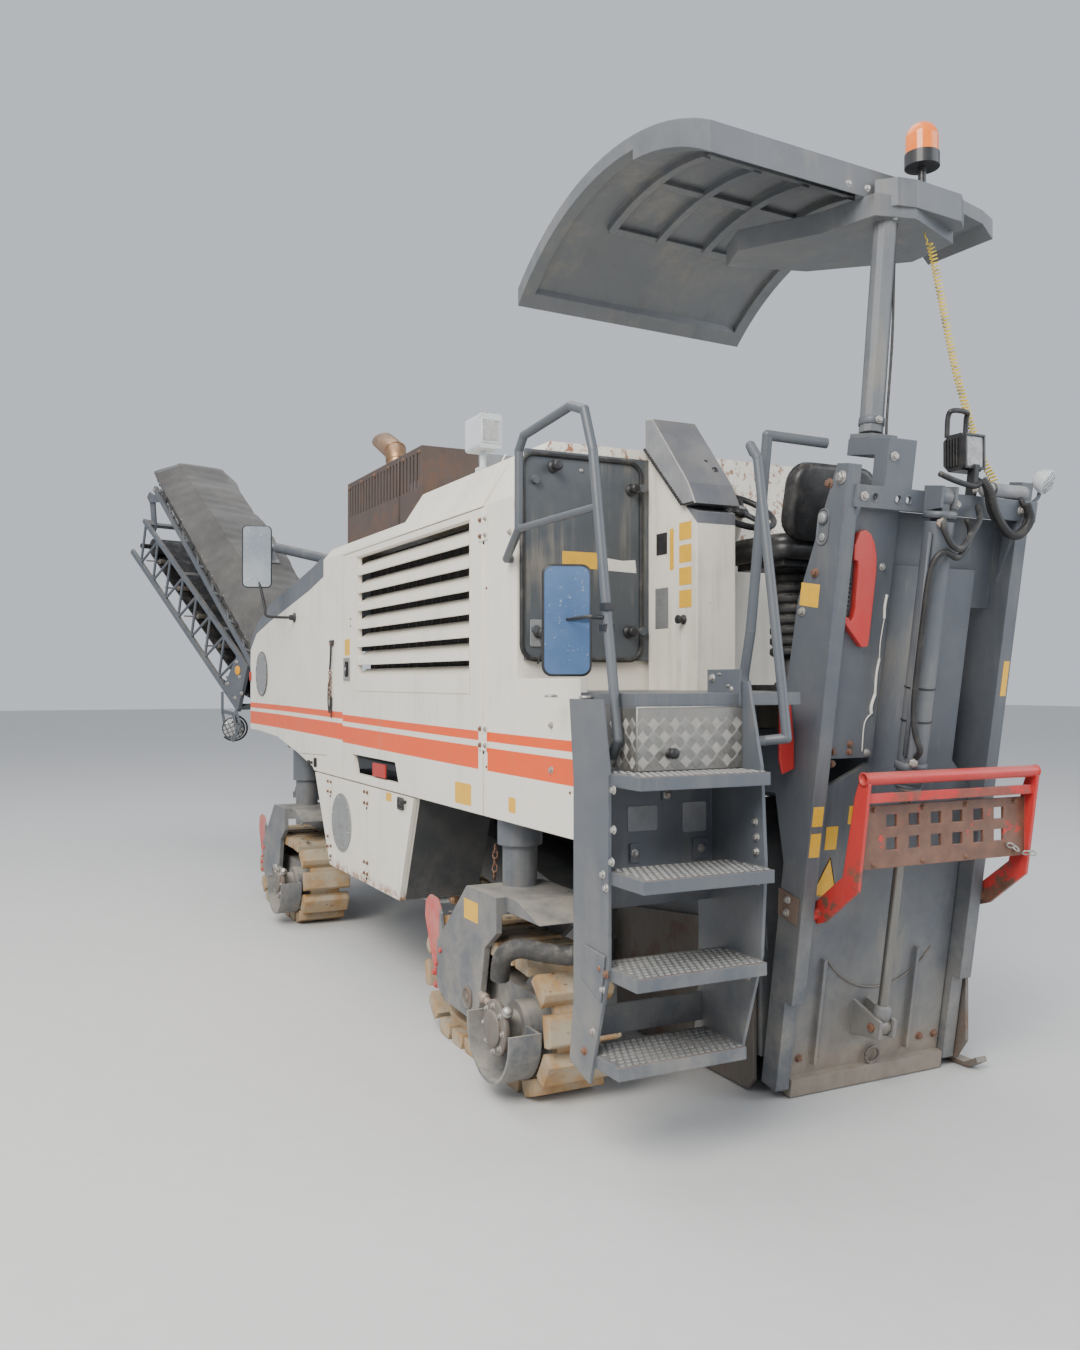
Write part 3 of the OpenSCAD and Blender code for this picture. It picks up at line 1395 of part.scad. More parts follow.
placed() chassis_frame();
placed() engine_block();
placed() hood_shell();
placed() side_skirts();
placed() nose_roof();
placed() exhaust_guard();
placed() exhaust_pipe();
placed() air_box();
placed() rear_cover();
placed() console();
placed() seat();
placed() platform_deck();
placed() ladder();
placed() checker_box();
placed() handrails();
placed() rear_tower();
placed() drum_housing();
placed() canopy_mast();
placed() canopy_shell();
placed() beacon();
placed() lamps();
placed() mirrors();
placed() primary_conveyor();
placed() rear_legs();
placed() rear_left_track();
placed() rear_right_track();
placed() red_hooks();
placed() scraper_barrel();
placed() leg_hose();
placed() coil_cord();
placed() milling_drum();
placed() scraper_plate();
placed() scraper_rod();
placed() guard_frame();
placed() side_plate_left();
placed() side_plate_right();
placed() front_left_track();
placed() front_left_leg();
placed() front_right_track();
placed() front_right_leg();
placed() steering_wheel();
placed() slew_frame();
placed() luff_barrel();
placed() luff_rod();
placed() conveyor_rear_frame();
placed() conveyor_rear_cover();
placed() conveyor_rear_belt();
placed() conveyor_front_frame();
placed() conveyor_front_belt();
placed() louvre_door_left();
placed() louvre_door_right();
placed() skirt_door_rear();
placed() skirt_door_front();
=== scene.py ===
# Looks of the cold planer milling machine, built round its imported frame. Metres, the frame's axes.
import math
import random

import bpy
from mathutils import Matrix, Vector


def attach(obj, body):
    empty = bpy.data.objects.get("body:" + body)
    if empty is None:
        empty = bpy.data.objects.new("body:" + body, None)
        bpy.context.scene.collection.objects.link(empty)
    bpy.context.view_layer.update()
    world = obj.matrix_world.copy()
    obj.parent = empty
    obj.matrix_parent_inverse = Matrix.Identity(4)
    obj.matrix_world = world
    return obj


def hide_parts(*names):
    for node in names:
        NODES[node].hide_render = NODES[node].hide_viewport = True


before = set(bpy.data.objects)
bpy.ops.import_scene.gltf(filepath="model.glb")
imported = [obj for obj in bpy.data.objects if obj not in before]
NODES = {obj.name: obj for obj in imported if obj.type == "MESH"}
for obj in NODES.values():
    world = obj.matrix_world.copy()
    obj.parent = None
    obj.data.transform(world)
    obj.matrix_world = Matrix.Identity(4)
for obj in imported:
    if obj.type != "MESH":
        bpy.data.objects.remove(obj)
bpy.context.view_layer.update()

# Frames of reference, as in the CAD source: millimetres from the rear left track's middle
MM = 0.001
ORIGIN = (3329.04, 192.14)
SIDE = 900


def move(x, y, z):
    return Matrix.Translation((x, y, z))


def turn(degrees, axis):
    return Matrix.Rotation(math.radians(degrees), 4, axis)


WORLD = Matrix.Scale(MM, 4) @ move(-ORIGIN[0], -ORIGIN[1], 0)
FLIPPED = WORLD @ Matrix.Scale(-1, 4, (0, 1, 0))
REAR = WORLD @ move(-870, 0, 30) @ turn(-9, "Y")
SLEW = WORLD @ move(5000, 0, 0) @ turn(20, "Z")
SECTION = SLEW @ move(0, 0, 1090) @ turn(-45, "Y")
FOLDED = SECTION @ move(3755, 0, -360) @ turn(187, "Y")
WHEEL_FRAME = WORLD @ move(-420, -82, 2352) @ turn(-35, "Y")

# Ways a fitting can face: out of the left flank, up, and out of the rear
LEFT, UP, AFT = (0, 1, 0), (0, 0, 1), (-1, 0, 0)


def add_object(name, data):
    obj = bpy.data.objects.new(name, data)
    bpy.context.scene.collection.objects.link(obj)
    return obj


# Camera at the photograph's eye
camera = add_object("camera", bpy.data.cameras.new("camera"))
camera.location = (-7.71404, 2.65786, 1.62)
camera.rotation_mode = "QUATERNION"
camera.rotation_quaternion = Vector((0.8957, -0.4446, 0.0053)).to_track_quat("-Z", "Y")
camera.data.lens = 30.03
camera.data.sensor_width = 36
camera.data.clip_start = 0.05
camera.data.clip_end = 200
bpy.context.scene.camera = camera


# Shaders
class Shader:
    """A material whose nodes are added by short calls."""

    def __init__(self, name):
        self.material = bpy.data.materials.new(name)
        self.material.use_nodes = True
        self.tree = self.material.node_tree
        self.tree.nodes.clear()
        self.surface = self.add("ShaderNodeBsdfPrincipled")
        output = self.add("ShaderNodeOutputMaterial")
        self.tree.links.new(self.surface.outputs[0], output.inputs[0])
        coords = self.add("ShaderNodeTexCoord")
        self.place = coords.outputs["Object"]
        self.x, self.y, self.z = self.split(self.place)
        self.up = self.split(coords.outputs["Normal"])[2]
        self.bevel = None

    def add(self, kind, **settings):
        node = self.tree.nodes.new(kind)
        for key, value in settings.items():
            setattr(node, key, value)
        return node

    def fill(self, socket, value):
        if isinstance(value, bpy.types.NodeSocket):
            self.tree.links.new(value, socket)
        elif isinstance(value, tuple) and len(value) == 3 and socket.type == "RGBA":
            socket.default_value = (*value, 1)
        else:
            socket.default_value = value

    def split(self, vector):
        node = self.add("ShaderNodeSeparateXYZ")
        self.fill(node.inputs[0], vector)
        return node.outputs

    def calc(self, operation, a, b=0.0):
        node = self.add("ShaderNodeMath", operation=operation)
        self.fill(node.inputs[0], a)
        self.fill(node.inputs[1], b)
        return node.outputs[0]

    def both(self, *masks):
        result = masks[0]
        for mask in masks[1:]:
            result = self.calc("MULTIPLY", result, mask)
        return result

    def span(self, value, start, end, low=0.0, high=1.0):
        node = self.add("ShaderNodeMapRange", interpolation_type="SMOOTHSTEP")
        for socket, v in zip(node.inputs, (value, start, end, low, high)):
            self.fill(socket, v)
        return node.outputs[0]

    def band(self, value, low, high, soft=0.0015):
        return self.both(self.span(value, low - soft, low + soft),
            self.span(value, high + soft, high - soft))

    def noise(self, scale, detail, rough=0.6, stretch=None, seed=0.0):
        vector = self.place
        if stretch or seed:
            mapping = self.add("ShaderNodeMapping")
            self.fill(mapping.inputs["Vector"], vector)
            mapping.inputs["Scale"].default_value = stretch or (1, 1, 1)
            mapping.inputs["Location"].default_value = (seed, seed, seed)
            vector = mapping.outputs[0]
        node = self.add("ShaderNodeTexNoise")
        self.fill(node.inputs["Vector"], vector)
        node.inputs["Scale"].default_value = scale
        node.inputs["Detail"].default_value = detail
        node.inputs["Roughness"].default_value = rough
        return node.outputs[0]

    def cloud(self, scale, detail, rough, start, end, share=1.0, **more):
        """A mask of soft patches, from 0 to its share."""
        return self.span(self.noise(scale, detail, rough, **more), start, end, 0, share)

    def measured(self):
        """x and y in metres from the measuring frame's origin."""
        return self.calc("ADD", self.x, ORIGIN[0] * MM), self.calc("ADD", self.y, ORIGIN[1] * MM)

    def mix(self, factor, a, b):
        node = self.add("ShaderNodeMix", data_type="RGBA", clamp_factor=True)
        self.fill(node.inputs[0], factor)
        self.fill(node.inputs[6], a)
        self.fill(node.inputs[7], b)
        return node.outputs[2]

    def edges(self, radius=0.006, start=0.99, end=0.9):
        """1 along the sharp edges of a mesh, 0 on its faces."""
        self.bevel = self.add("ShaderNodeBevel", samples=4)
        self.bevel.inputs["Radius"].default_value = radius
        geometry = self.add("ShaderNodeNewGeometry")
        dot = self.add("ShaderNodeVectorMath", operation="DOT_PRODUCT")
        self.fill(dot.inputs[0], self.bevel.outputs[0])
        self.fill(dot.inputs[1], geometry.outputs["Normal"])
        return self.span(dot.outputs["Value"], start, end)

    def close(self, color, rough, metal=0.0, *, bump, depth, strength, **sockets):
        self.fill(self.surface.inputs["Base Color"], color)
        self.fill(self.surface.inputs["Roughness"], rough)
        self.fill(self.surface.inputs["Metallic"], metal)
        node = self.add("ShaderNodeBump")
        node.inputs["Strength"].default_value = strength
        node.inputs["Distance"].default_value = depth
        self.fill(node.inputs["Height"], bump)
        if self.bevel:
            self.fill(node.inputs["Normal"], self.bevel.outputs[0])
        self.fill(self.surface.inputs["Normal"], node.outputs[0])
        for name, value in sockets.items():
            self.surface.inputs[name.replace("_", " ")].default_value = value
        return self.material


DUST = (0.42, 0.38, 0.31)
RUST = (0.17, 0.065, 0.03)
RUST_LIGHT = (0.33, 0.13, 0.05)
SLATE = (0.088, 0.1, 0.118)
CREAM = (0.80, 0.755, 0.655)
ORANGE = (0.86, 0.085, 0.0)


def paint(name, base, rough, mottle=0.2, dusty=0.3, chips=0.5, streaks=0.25, low_dirt=0.4,
          under=RUST, over=None, edge_tone=None, edge_share=0.6):
    """Worn machine paint: mottled, streaked, dusty low down and on top, chipped along its edges."""
    s = Shader(name)
    dark = tuple(c * 0.72 for c in base)
    pale = tuple(min(1.0, c * 1.18 + 0.012) for c in base)
    patches = s.noise(2.3, 6, 0.62)
    color = s.mix(s.span(patches, 0.42, 0.72, 0, mottle), base, pale)
    color = s.mix(s.cloud(6.5, 5, 0.7, 0.5, 0.75, mottle, seed=4.0), color, dark)
    if over:
        color = over(s, color)
    runs = s.both(s.noise(16, 5, 0.7, stretch=(1, 1, 0.05)), s.noise(3.1, 3, 0.5, seed=9.0))
    color = s.mix(s.span(runs, 0.24, 0.42, 0, streaks), color, tuple(c * 0.55 for c in DUST))
    settled = s.both(s.span(s.up, 0.35, 0.95), s.cloud(5, 6, 0.7, 0.25, 0.7))
    grime = s.both(s.span(s.z, 1.3, 0.1), s.cloud(3.7, 7, 0.72, 0.34, 0.68, seed=2.0))
    powder = s.cloud(1.4, 8, 0.75, 0.45, 0.8, seed=6.0)
    color = s.mix(s.both(powder, dusty * 0.5), color, DUST)
    color = s.mix(s.both(settled, dusty * 1.3), color, DUST)
    color = s.mix(s.both(grime, low_dirt), color, DUST)
    edge = s.edges()
    rubbed = s.both(edge, s.cloud(13, 5, 0.7, 0.38, 0.62, seed=1.0))
    bright = edge_tone or tuple(c * 1.7 + 0.03 for c in base)
    color = s.mix(s.both(rubbed, edge_share), color, bright)
    worn = s.both(edge, s.cloud(22, 6, 0.75, 0.56, 0.66, seed=3.0))
    nicks = s.cloud(38, 3, 0.55, 0.735, 0.755, seed=7.0)
    chip = s.calc("MAXIMUM", worn, s.both(nicks, 0.8))
    color = s.mix(s.both(chip, chips), color, under)
    rough_map = s.calc("ADD", s.both(s.calc("MAXIMUM", grime, powder), 0.28), rough)
    height = s.calc("ADD", s.both(s.noise(70, 3, 0.6), 0.25), s.both(chip, -0.5))
    return s.close(color, rough_map, bump=height, depth=0.0012, strength=0.35)


def stripes(s, color):
    """The two orange stripes along each flank, broken at the seam and the joints of the panels."""
    x, y = s.measured()
    flank = s.span(s.calc("ABSOLUTE", y), 0.896, 0.8985)
    drop = s.span(x, -0.8, 4.8, 0.0, 0.036)
    lift = s.span(x, 2.215, 2.218, 0.0, 0.013)
    z = s.calc("SUBTRACT", s.z, s.calc("ADD", drop, lift))
    upper = s.band(z, 1.358, 1.399)
    lower = s.band(z, 1.232, 1.331)
    run = s.calc("MAXIMUM", s.band(x, -0.797, 0.052), s.band(x, 0.15, 4.83))
    mask = s.both(flank, run, s.calc("MAXIMUM", upper, lower))
    faded = s.mix(s.cloud(4, 5, 0.7, 0.4, 0.8, 0.3, seed=5.0), ORANGE, (0.84, 0.12, 0.015))
    color = s.mix(mask, color, faded)
    corner = s.both(s.band(x, -0.27, -0.215, 0.012), s.span(s.z, 2.05, 2.3),
        s.cloud(30, 5, 0.7, 0.52, 0.64))
    low = s.both(s.span(s.z, 0.54, 0.485), s.cloud(16, 5, 0.7, 0.42, 0.6, seed=8.0))
    return s.mix(s.calc("MAXIMUM", corner, low), color, RUST_LIGHT)


def metal(name, base, rough, scale, stain, stained, dusty, metallic, stretch=(1, 1, 1),
          edge_share=0.3):
    """Bare metal with a grain, stains and dust."""
    s = Shader(name)
    grain = s.noise(scale, 5, 0.65, stretch=stretch)
    color = s.mix(s.span(grain, 0.3, 0.7, 0, 0.5), tuple(c * 0.72 for c in base), base)
    marks = s.cloud(5.5, 7, 0.75, 0.48, 0.68, seed=3.0)
    color = s.mix(s.both(marks, stained), color, stain)
    settled = s.both(s.span(s.up, 0.2, 0.9), s.cloud(8, 6, 0.7, 0.3, 0.7))
    color = s.mix(s.both(settled, dusty), color, DUST)
    edge = s.edges(0.004)
    color = s.mix(s.both(edge, edge_share), color, tuple(min(1.0, c * 1.5 + 0.05) for c in base))
    rough_map = s.calc("ADD", s.both(s.calc("ADD", marks, grain), 0.22), rough)
    shine = s.both(s.calc("SUBTRACT", 1.0, s.both(marks, stained)), metallic)
    return s.close(color, rough_map, shine, bump=grain, depth=0.0006, strength=0.3)


def plastic(name, base, rough, scale, dusty, edge=False):
    """Moulded plastic or rubber with a fine grain and dust."""
    s = Shader(name)
    cloud = s.noise(7, 6, 0.7)
    color = s.mix(s.span(cloud, 0.35, 0.7, 0, 0.6), base, tuple(c * 1.5 + 0.01 for c in base))
    powder = s.both(s.span(s.up, -0.2, 0.9, 0.3, 1.0), s.cloud(13, 6, 0.75, 0.45, 0.75, seed=2.0))
    color = s.mix(s.both(powder, dusty), color, DUST)
    if edge:
        color = s.mix(s.both(s.edges(0.003), 0.35), color, tuple(c * 2.2 + 0.03 for c in base))
    rough_map = s.span(s.noise(20, 4, 0.6, seed=5.0), 0.3, 0.7, rough - 0.07, rough + 0.12)
    return s.close(color, rough_map, bump=s.noise(scale, 3, 0.6), depth=0.0005, strength=0.35)


def dash_over(s, color):
    """The moulded dash is blue-grey over the cream console."""
    x, y = s.measured()
    above = s.calc("SUBTRACT", s.z, s.both(s.calc("ADD", x, 0.56), 0.96))
    dash = s.both(s.span(y, 0.0885, 0.0895), s.span(y, 0.3055, 0.3045), s.span(above, 2.327, 2.33))
    blue_grey = s.mix(s.cloud(4, 6, 0.7, 0.35, 0.7), (0.115, 0.122, 0.14), (0.16, 0.168, 0.185))
    return s.mix(dash, color, blue_grey)


def two(first, second):
    return lambda s, color: second(s, first(s, color))


def skirt_inner_shade(s, color):
    """Painted shade: inside its skin the side box is painted near-black, standing in for the shadow
    within it.
    """
    y = s.calc("ABSOLUTE", s.measured()[1])
    return s.mix(s.span(y, 0.866, 0.864), color, (0.055, 0.058, 0.062))


def leg_over(x0, side, tube_y):
    """Colours of a leg's red guard and drive motor, at the leg's place."""
    def over(s, color):
        x = s.calc("ADD", s.x, (ORIGIN[0] - x0) * MM)
        y = s.both(s.calc("ADD", s.y, (ORIGIN[1] - side * tube_y) * MM), side)
        red = s.both(s.span(x, 0.424, 0.43), s.band(y, 0.15, 0.176), s.band(s.z, 0.2, 0.7))
        color = s.mix(red, color, s.mix(s.cloud(9, 6, 0.7, 0.35, 0.7), RED, RED_FADED))
        dx = s.calc("ADD", x, 0.39)
        dz = s.calc("SUBTRACT", s.z, 0.275)
        radius = s.calc("SQRT", s.calc("ADD", s.both(dx, dx), s.both(dz, dz)))
        motor = s.both(s.span(radius, 0.102, 0.098), s.span(y, 0.145, 0.15))
        return s.mix(motor, color, (0.17, 0.165, 0.155))
    return over


RED = (0.52, 0.028, 0.026)
RED_FADED = (0.56, 0.105, 0.10)


def pads():
    """Ochre pads, grey with dust on their flats and scuffed to tan at their edges."""
    s = Shader("track_pads")
    ochre = s.mix(s.cloud(9, 6, 0.7, 0.35, 0.7), (0.42, 0.235, 0.075), (0.30, 0.165, 0.07))
    powder = s.cloud(4.2, 8, 0.72, 0.36, 0.6, seed=3.0)
    color = s.mix(s.both(powder, 0.92), ochre, (0.40, 0.35, 0.26))
    rubbed = s.both(s.edges(0.012, 0.985, 0.85), s.cloud(19, 6, 0.75, 0.36, 0.56, seed=6.0))
    color = s.mix(s.both(rubbed, 0.85), color, (0.50, 0.26, 0.08))
    pits = s.cloud(34, 4, 0.6, 0.64, 0.7, seed=8.0)
    color = s.mix(s.both(pits, 0.7), color, (0.12, 0.075, 0.04))
    height = s.calc("SUBTRACT", s.noise(26, 6, 0.75), s.both(pits, 0.8))
    return s.close(color, s.span(powder, 0, 1, 0.55, 0.9), bump=height, depth=0.004, strength=0.6)


def drum_steel():
    s = Shader("drum_steel")
    rusty = s.cloud(6, 7, 0.75, 0.4, 0.65)
    color = s.mix(rusty, (0.14, 0.125, 0.115), (0.19, 0.1, 0.055))
    color = s.mix(s.both(s.edges(0.006), 0.8), color, (0.42, 0.40, 0.38))
    return s.close(color, 0.55, 0.6, bump=s.noise(60, 5, 0.7), depth=0.002, strength=0.5)


def canvas():
    """Dusty grey-brown tarpaulin: a fine weave, broad creases and bleached patches."""
    s = Shader("tarpaulin")
    color = s.mix(s.cloud(2.6, 7, 0.7, 0.35, 0.7), (0.048, 0.045, 0.042), (0.085, 0.079, 0.072))
    color = s.mix(s.cloud(9, 7, 0.75, 0.5, 0.75, 0.6, stretch=(1, 1, 0.4), seed=4.0), color,
        (0.13, 0.12, 0.105))
    color = s.mix(s.cloud(25, 4, 0.7, 0.62, 0.7, 0.6, seed=8.0), color, (0.03, 0.028, 0.026))
    wave = s.add("ShaderNodeTexWave", wave_type="BANDS", bands_direction="X")
    wave.inputs["Scale"].default_value = 260
    other = s.add("ShaderNodeTexWave", wave_type="BANDS", bands_direction="Y")
    other.inputs["Scale"].default_value = 260
    weave = s.calc("MAXIMUM", wave.outputs["Fac"], other.outputs["Fac"])
    height = s.calc("ADD", s.both(weave, 0.08), s.noise(14, 6, 0.65, seed=2.0))
    return s.close(color, 0.82, bump=height, depth=0.006, strength=0.5, Sheen_Weight=0.25,
        Sheen_Roughness=0.6)


def amber(base_z):
    """Amber beacon lens over its black foot, by height."""
    s = Shader("beacon_plastic")
    lens = s.span(s.z, base_z - 0.001, base_z + 0.001)
    ribs = s.add("ShaderNodeTexWave", wave_type="BANDS", bands_direction="Z")
    ribs.inputs["Scale"].default_value = 28
    tone = s.mix(s.cloud(9, 4, 0.6, 0.3, 0.7), (0.78, 0.15, 0.012), (0.86, 0.22, 0.02))
    color = s.mix(lens, (0.018, 0.018, 0.02), tone)
    material = s.close(color, s.span(lens, 0, 1, 0.5, 0.13), bump=ribs.outputs["Fac"], depth=0.0006,
        strength=0.15, Coat_Weight=0.3, Coat_Roughness=0.12)
    s.fill(s.surface.inputs["Emission Color"], s.mix(lens, (0, 0, 0), (0.75, 0.12, 0.005)))
    s.surface.inputs["Emission Strength"].default_value = 0.22
    return material


def mirror_reflection_glass(name, low, high):
    s = Shader(name)
    specks = s.cloud(60, 4, 0.7, 0.6, 0.72)
    # The glass is coloured as a painted reflection of the sky, from its low to its high tone; the
    # pale specks are grime
    sky = s.mix(s.cloud(3, 4, 0.6, 0.3, 0.7), low, high)
    color = s.mix(s.both(specks, 0.5), sky, (0.6, 0.62, 0.62))
    return s.close(color, s.span(specks, 0, 1, 0.08, 0.5), 0.75, bump=s.noise(4, 3), depth=0.0005,
        strength=0.1)


def label(name, base, frayed=0.3):
    s = Shader(name)
    color = s.mix(s.cloud(24, 5, 0.7, 0.4, 0.7, 0.35), base, tuple(c * 0.7 for c in base))
    marks = s.cloud(55, 5, 0.7, 0.6, 0.66, seed=4.0)
    color = s.mix(s.both(marks, frayed), color, (0.55, 0.5, 0.42))
    return s.close(color, 0.5, bump=s.noise(80, 3), depth=0.0003, strength=0.2)


def cord_yellow():
    """Yellow plastic of the coiled cable, dark with dirt in patches."""
    s = Shader("cord_plastic")
    dirt = s.cloud(16, 5, 0.7, 0.5, 0.68)
    color = s.mix(dirt, (0.78, 0.58, 0.05), (0.16, 0.13, 0.05))
    return s.close(color, 0.5, bump=s.noise(200, 3), depth=0.0003, strength=0.2)


def lens_glass():
    s = Shader("lens_glass")
    ribs = s.add("ShaderNodeTexWave", wave_type="BANDS", bands_direction="Y")
    ribs.inputs["Scale"].default_value = 24
    color = s.mix(s.cloud(30, 5, 0.7, 0.35, 0.7), (0.62, 0.63, 0.62), (0.36, 0.37, 0.37))
    return s.close(color, 0.18, 0.55, bump=ribs.outputs["Fac"], depth=0.002,
        strength=0.4, Coat_Weight=0.6)


def body_paint(name, over, streaks=0.16):
    return paint(name, CREAM, rough=0.38, mottle=0.15, dusty=0.22, chips=0.55, streaks=streaks,
        low_dirt=0.22, under=RUST_LIGHT, over=over, edge_tone=(0.83, 0.80, 0.73), edge_share=0.35)


cream = body_paint("cream_paint", stripes)
slate = paint("slate_paint", SLATE, rough=0.44)
console_paint = body_paint("console_paint", dash_over, 0.3)
# Side box paint: orange stripes, and near-black painted shade on the faces inside the skin
skirt_finish_with_shade = body_paint("skirt_paint_and_inner_shade", two(stripes, skirt_inner_shade))
canopy_paint = paint("canopy_paint", (0.115, 0.125, 0.137), rough=0.5, mottle=0.6, dusty=0.5,
    chips=0.35, streaks=0.4)
rail_paint = paint("rail_paint", (0.085, 0.097, 0.112), rough=0.38, mottle=0.3, dusty=0.15,
    chips=0.9, streaks=0.1, low_dirt=0.2)
cover_paint = paint("door_paint", (0.068, 0.078, 0.088), rough=0.5, mottle=0.6, dusty=0.35,
    chips=0.3, streaks=0.9)
red = paint("red_paint", RED, rough=0.4, mottle=0.25, dusty=0.25, chips=0.9, streaks=0.15,
    low_dirt=0.25, edge_tone=(0.62, 0.12, 0.11), edge_share=0.35)
engine_grey = paint("engine_paint", (0.10, 0.105, 0.11), rough=0.5, mottle=0.4, dusty=0.5,
    chips=0.4, streaks=0.5)
box_steel = metal("air_box_steel", (0.33, 0.335, 0.335), rough=0.42, scale=12, stretch=(1, 1, 0.2),
    stain=(0.2, 0.19, 0.17), stained=0.5, dusty=0.3, metallic=0.55)
guard_brown = metal("rusty_sheet", (0.115, 0.085, 0.072), rough=0.5, scale=30, stretch=(1, 1, 0.15),
    stain=(0.17, 0.08, 0.045), stained=0.5, dusty=0.2, metallic=0.3)
worn_steel = metal("worn_steel", (0.24, 0.215, 0.19), rough=0.5, scale=40, stretch=(1, 1, 0.3),
    stain=(0.15, 0.075, 0.04), stained=0.7, dusty=0.5, metallic=0.45)
galvanised = metal("galvanised", (0.40, 0.41, 0.41), rough=0.45, scale=26, stain=(0.16, 0.13, 0.1),
    stained=0.5, dusty=0.4, metallic=0.6)
aluminium = metal("checker_plate", (0.33, 0.32, 0.30), rough=0.38, scale=30,
    stain=(0.3, 0.27, 0.22), stained=0.4, dusty=0.3, metallic=0.8)
bright_bars = metal("checker_bars", (0.60, 0.59, 0.56), rough=0.3, scale=60,
    stain=(0.3, 0.27, 0.22), stained=0.3, dusty=0.15, metallic=0.85)
zinc = metal("zinc_bolts", (0.5, 0.49, 0.46), rough=0.35, scale=90, stain=(0.26, 0.12, 0.06),
    stained=0.6, dusty=0.2, metallic=0.8)
bolt_rusty = metal("rusty_bolts", (0.22, 0.12, 0.08), rough=0.6, scale=90, stain=(0.28, 0.11, 0.05),
    stained=0.7, dusty=0.3, metallic=0.3)
chrome = metal("rod_chrome", (0.62, 0.62, 0.61), rough=0.14, scale=40, stretch=(1, 1, 0.2),
    stain=(0.3, 0.27, 0.23), stained=0.25, dusty=0.1, metallic=1.0)
bronze = metal("burnt_pipe", (0.44, 0.265, 0.15), rough=0.3, scale=40, stretch=(1, 1, 0.3),
    stain=(0.2, 0.1, 0.06), stained=0.5, dusty=0.15, metallic=0.95, edge_share=0.6)
rubber = plastic("black_rubber", (0.014, 0.014, 0.015), rough=0.55, scale=90, dusty=0.3, edge=True)
hose_dusty = plastic("dusty_hose", (0.035, 0.034, 0.033), rough=0.6, scale=90, dusty=0.5, edge=True)
black = plastic("black_plastic", (0.016, 0.016, 0.018), rough=0.42, scale=140, dusty=0.2, edge=True)
vinyl = plastic("seat_vinyl", (0.013, 0.013, 0.014), rough=0.38, scale=160, dusty=0.25)
dash_grey = plastic("dash_cover", (0.20, 0.205, 0.215), rough=0.55, scale=90, dusty=0.35, edge=True)
# Near-black for openings, holes and recesses: painted shade, not a colour of the machine
shade_black = plastic("painted_shade_opening", (0.006, 0.006, 0.007), rough=0.9, scale=40, dusty=0.1)
yellow = label("label_yellow", (0.78, 0.44, 0.03))
white = label("label_white", (0.72, 0.70, 0.64), frayed=0.6)
lamp_white = paint("lamp_white", (0.56, 0.60, 0.63), rough=0.45, mottle=0.3, dusty=0.4,
    chips=0.3, streaks=0.3)
red_lens = label("red_reflector", (0.42, 0.03, 0.02), frayed=0.1)
orange_lens = label("amber_reflector", (0.82, 0.36, 0.01), frayed=0.1)
# Mirror glass colours are painted reflections: blue sky in the rear mirror, pale in the front one
glass = mirror_reflection_glass("mirror_reflection_glass", (0.13, 0.23, 0.43), (0.22, 0.34, 0.56))
pale_glass = mirror_reflection_glass("front_mirror_reflection", (0.42, 0.47, 0.50), (0.66, 0.70, 0.72))
lens = lens_glass()
tarp = canvas()
track = pads()
cutter = drum_steel()
coil_plastic = cord_yellow()
guard_plate = paint("guard_plate", (0.125, 0.068, 0.045), rough=0.6, mottle=0.5, dusty=0.3,
    chips=0.9, streaks=0.3, low_dirt=0.3, under=RED)


def legs_material(name, *places):
    over = lambda s, color: color
    for place in places:
        over = two(over, leg_over(*place))
    return paint(name, SLATE, rough=0.46, mottle=0.3, dusty=0.5, chips=0.7, streaks=0.3,
        low_dirt=0.6, over=over)


def guard_over(s, color):
    """The plate of the red guard is rusty brown with red left in patches."""
    x, y = s.measured()
    plate = s.both(s.band(x, -1.2545, -1.2385), s.band(s.z, 0.93, 1.17), s.band(y, -0.8385, 0.0035))
    brown = s.mix(s.cloud(14, 6, 0.7, 0.35, 0.7), (0.125, 0.062, 0.042), (0.19, 0.09, 0.055))
    left = s.cloud(11, 7, 0.75, 0.6, 0.63, seed=3.0)
    post = s.both(s.span(s.z, 1.0, 0.9), s.cloud(8, 6, 0.7, 0.5, 0.56, seed=6.0))
    bar = s.both(s.band(x, -1.2925, -1.2795), s.band(s.z, 1.178, 1.217),
        s.cloud(7, 5, 0.7, 0.42, 0.5, seed=9.0))
    bare = s.calc("MAXIMUM", s.both(plate, s.calc("SUBTRACT", 1.0, left)),
        s.calc("MAXIMUM", post, bar))
    return s.mix(bare, color, brown)


def blade_over(s, color):
    """The foot of the scraper is worn to brown steel."""
    foot = s.calc("ADD", s.z, s.both(s.noise(5, 5, 0.7), -0.12))
    brown = s.mix(s.cloud(18, 6, 0.7, 0.35, 0.7), (0.19, 0.125, 0.085), (0.25, 0.2, 0.15))
    color = s.mix(s.span(foot, 0.17, 0.06), color, brown)
    return s.mix(s.span(foot, 0.45, 0.2, 0, 0.5), color, (0.2, 0.185, 0.165))


red_guard = paint("red_guard", RED, rough=0.36, mottle=0.25, dusty=0.2, chips=0.8, streaks=0.1,
    low_dirt=0.2, over=guard_over, edge_tone=(0.62, 0.12, 0.11), edge_share=0.35)
blade = paint("scraper_paint", SLATE, rough=0.46, mottle=0.3, dusty=0.3, chips=0.8, streaks=0.5,
    low_dirt=0.3, over=blade_over)
rod_steel = metal("dull_rod", (0.30, 0.29, 0.27), rough=0.3, scale=40, stretch=(1, 1, 0.15),
    stain=(0.2, 0.15, 0.1), stained=0.4, dusty=0.2, metallic=0.9)

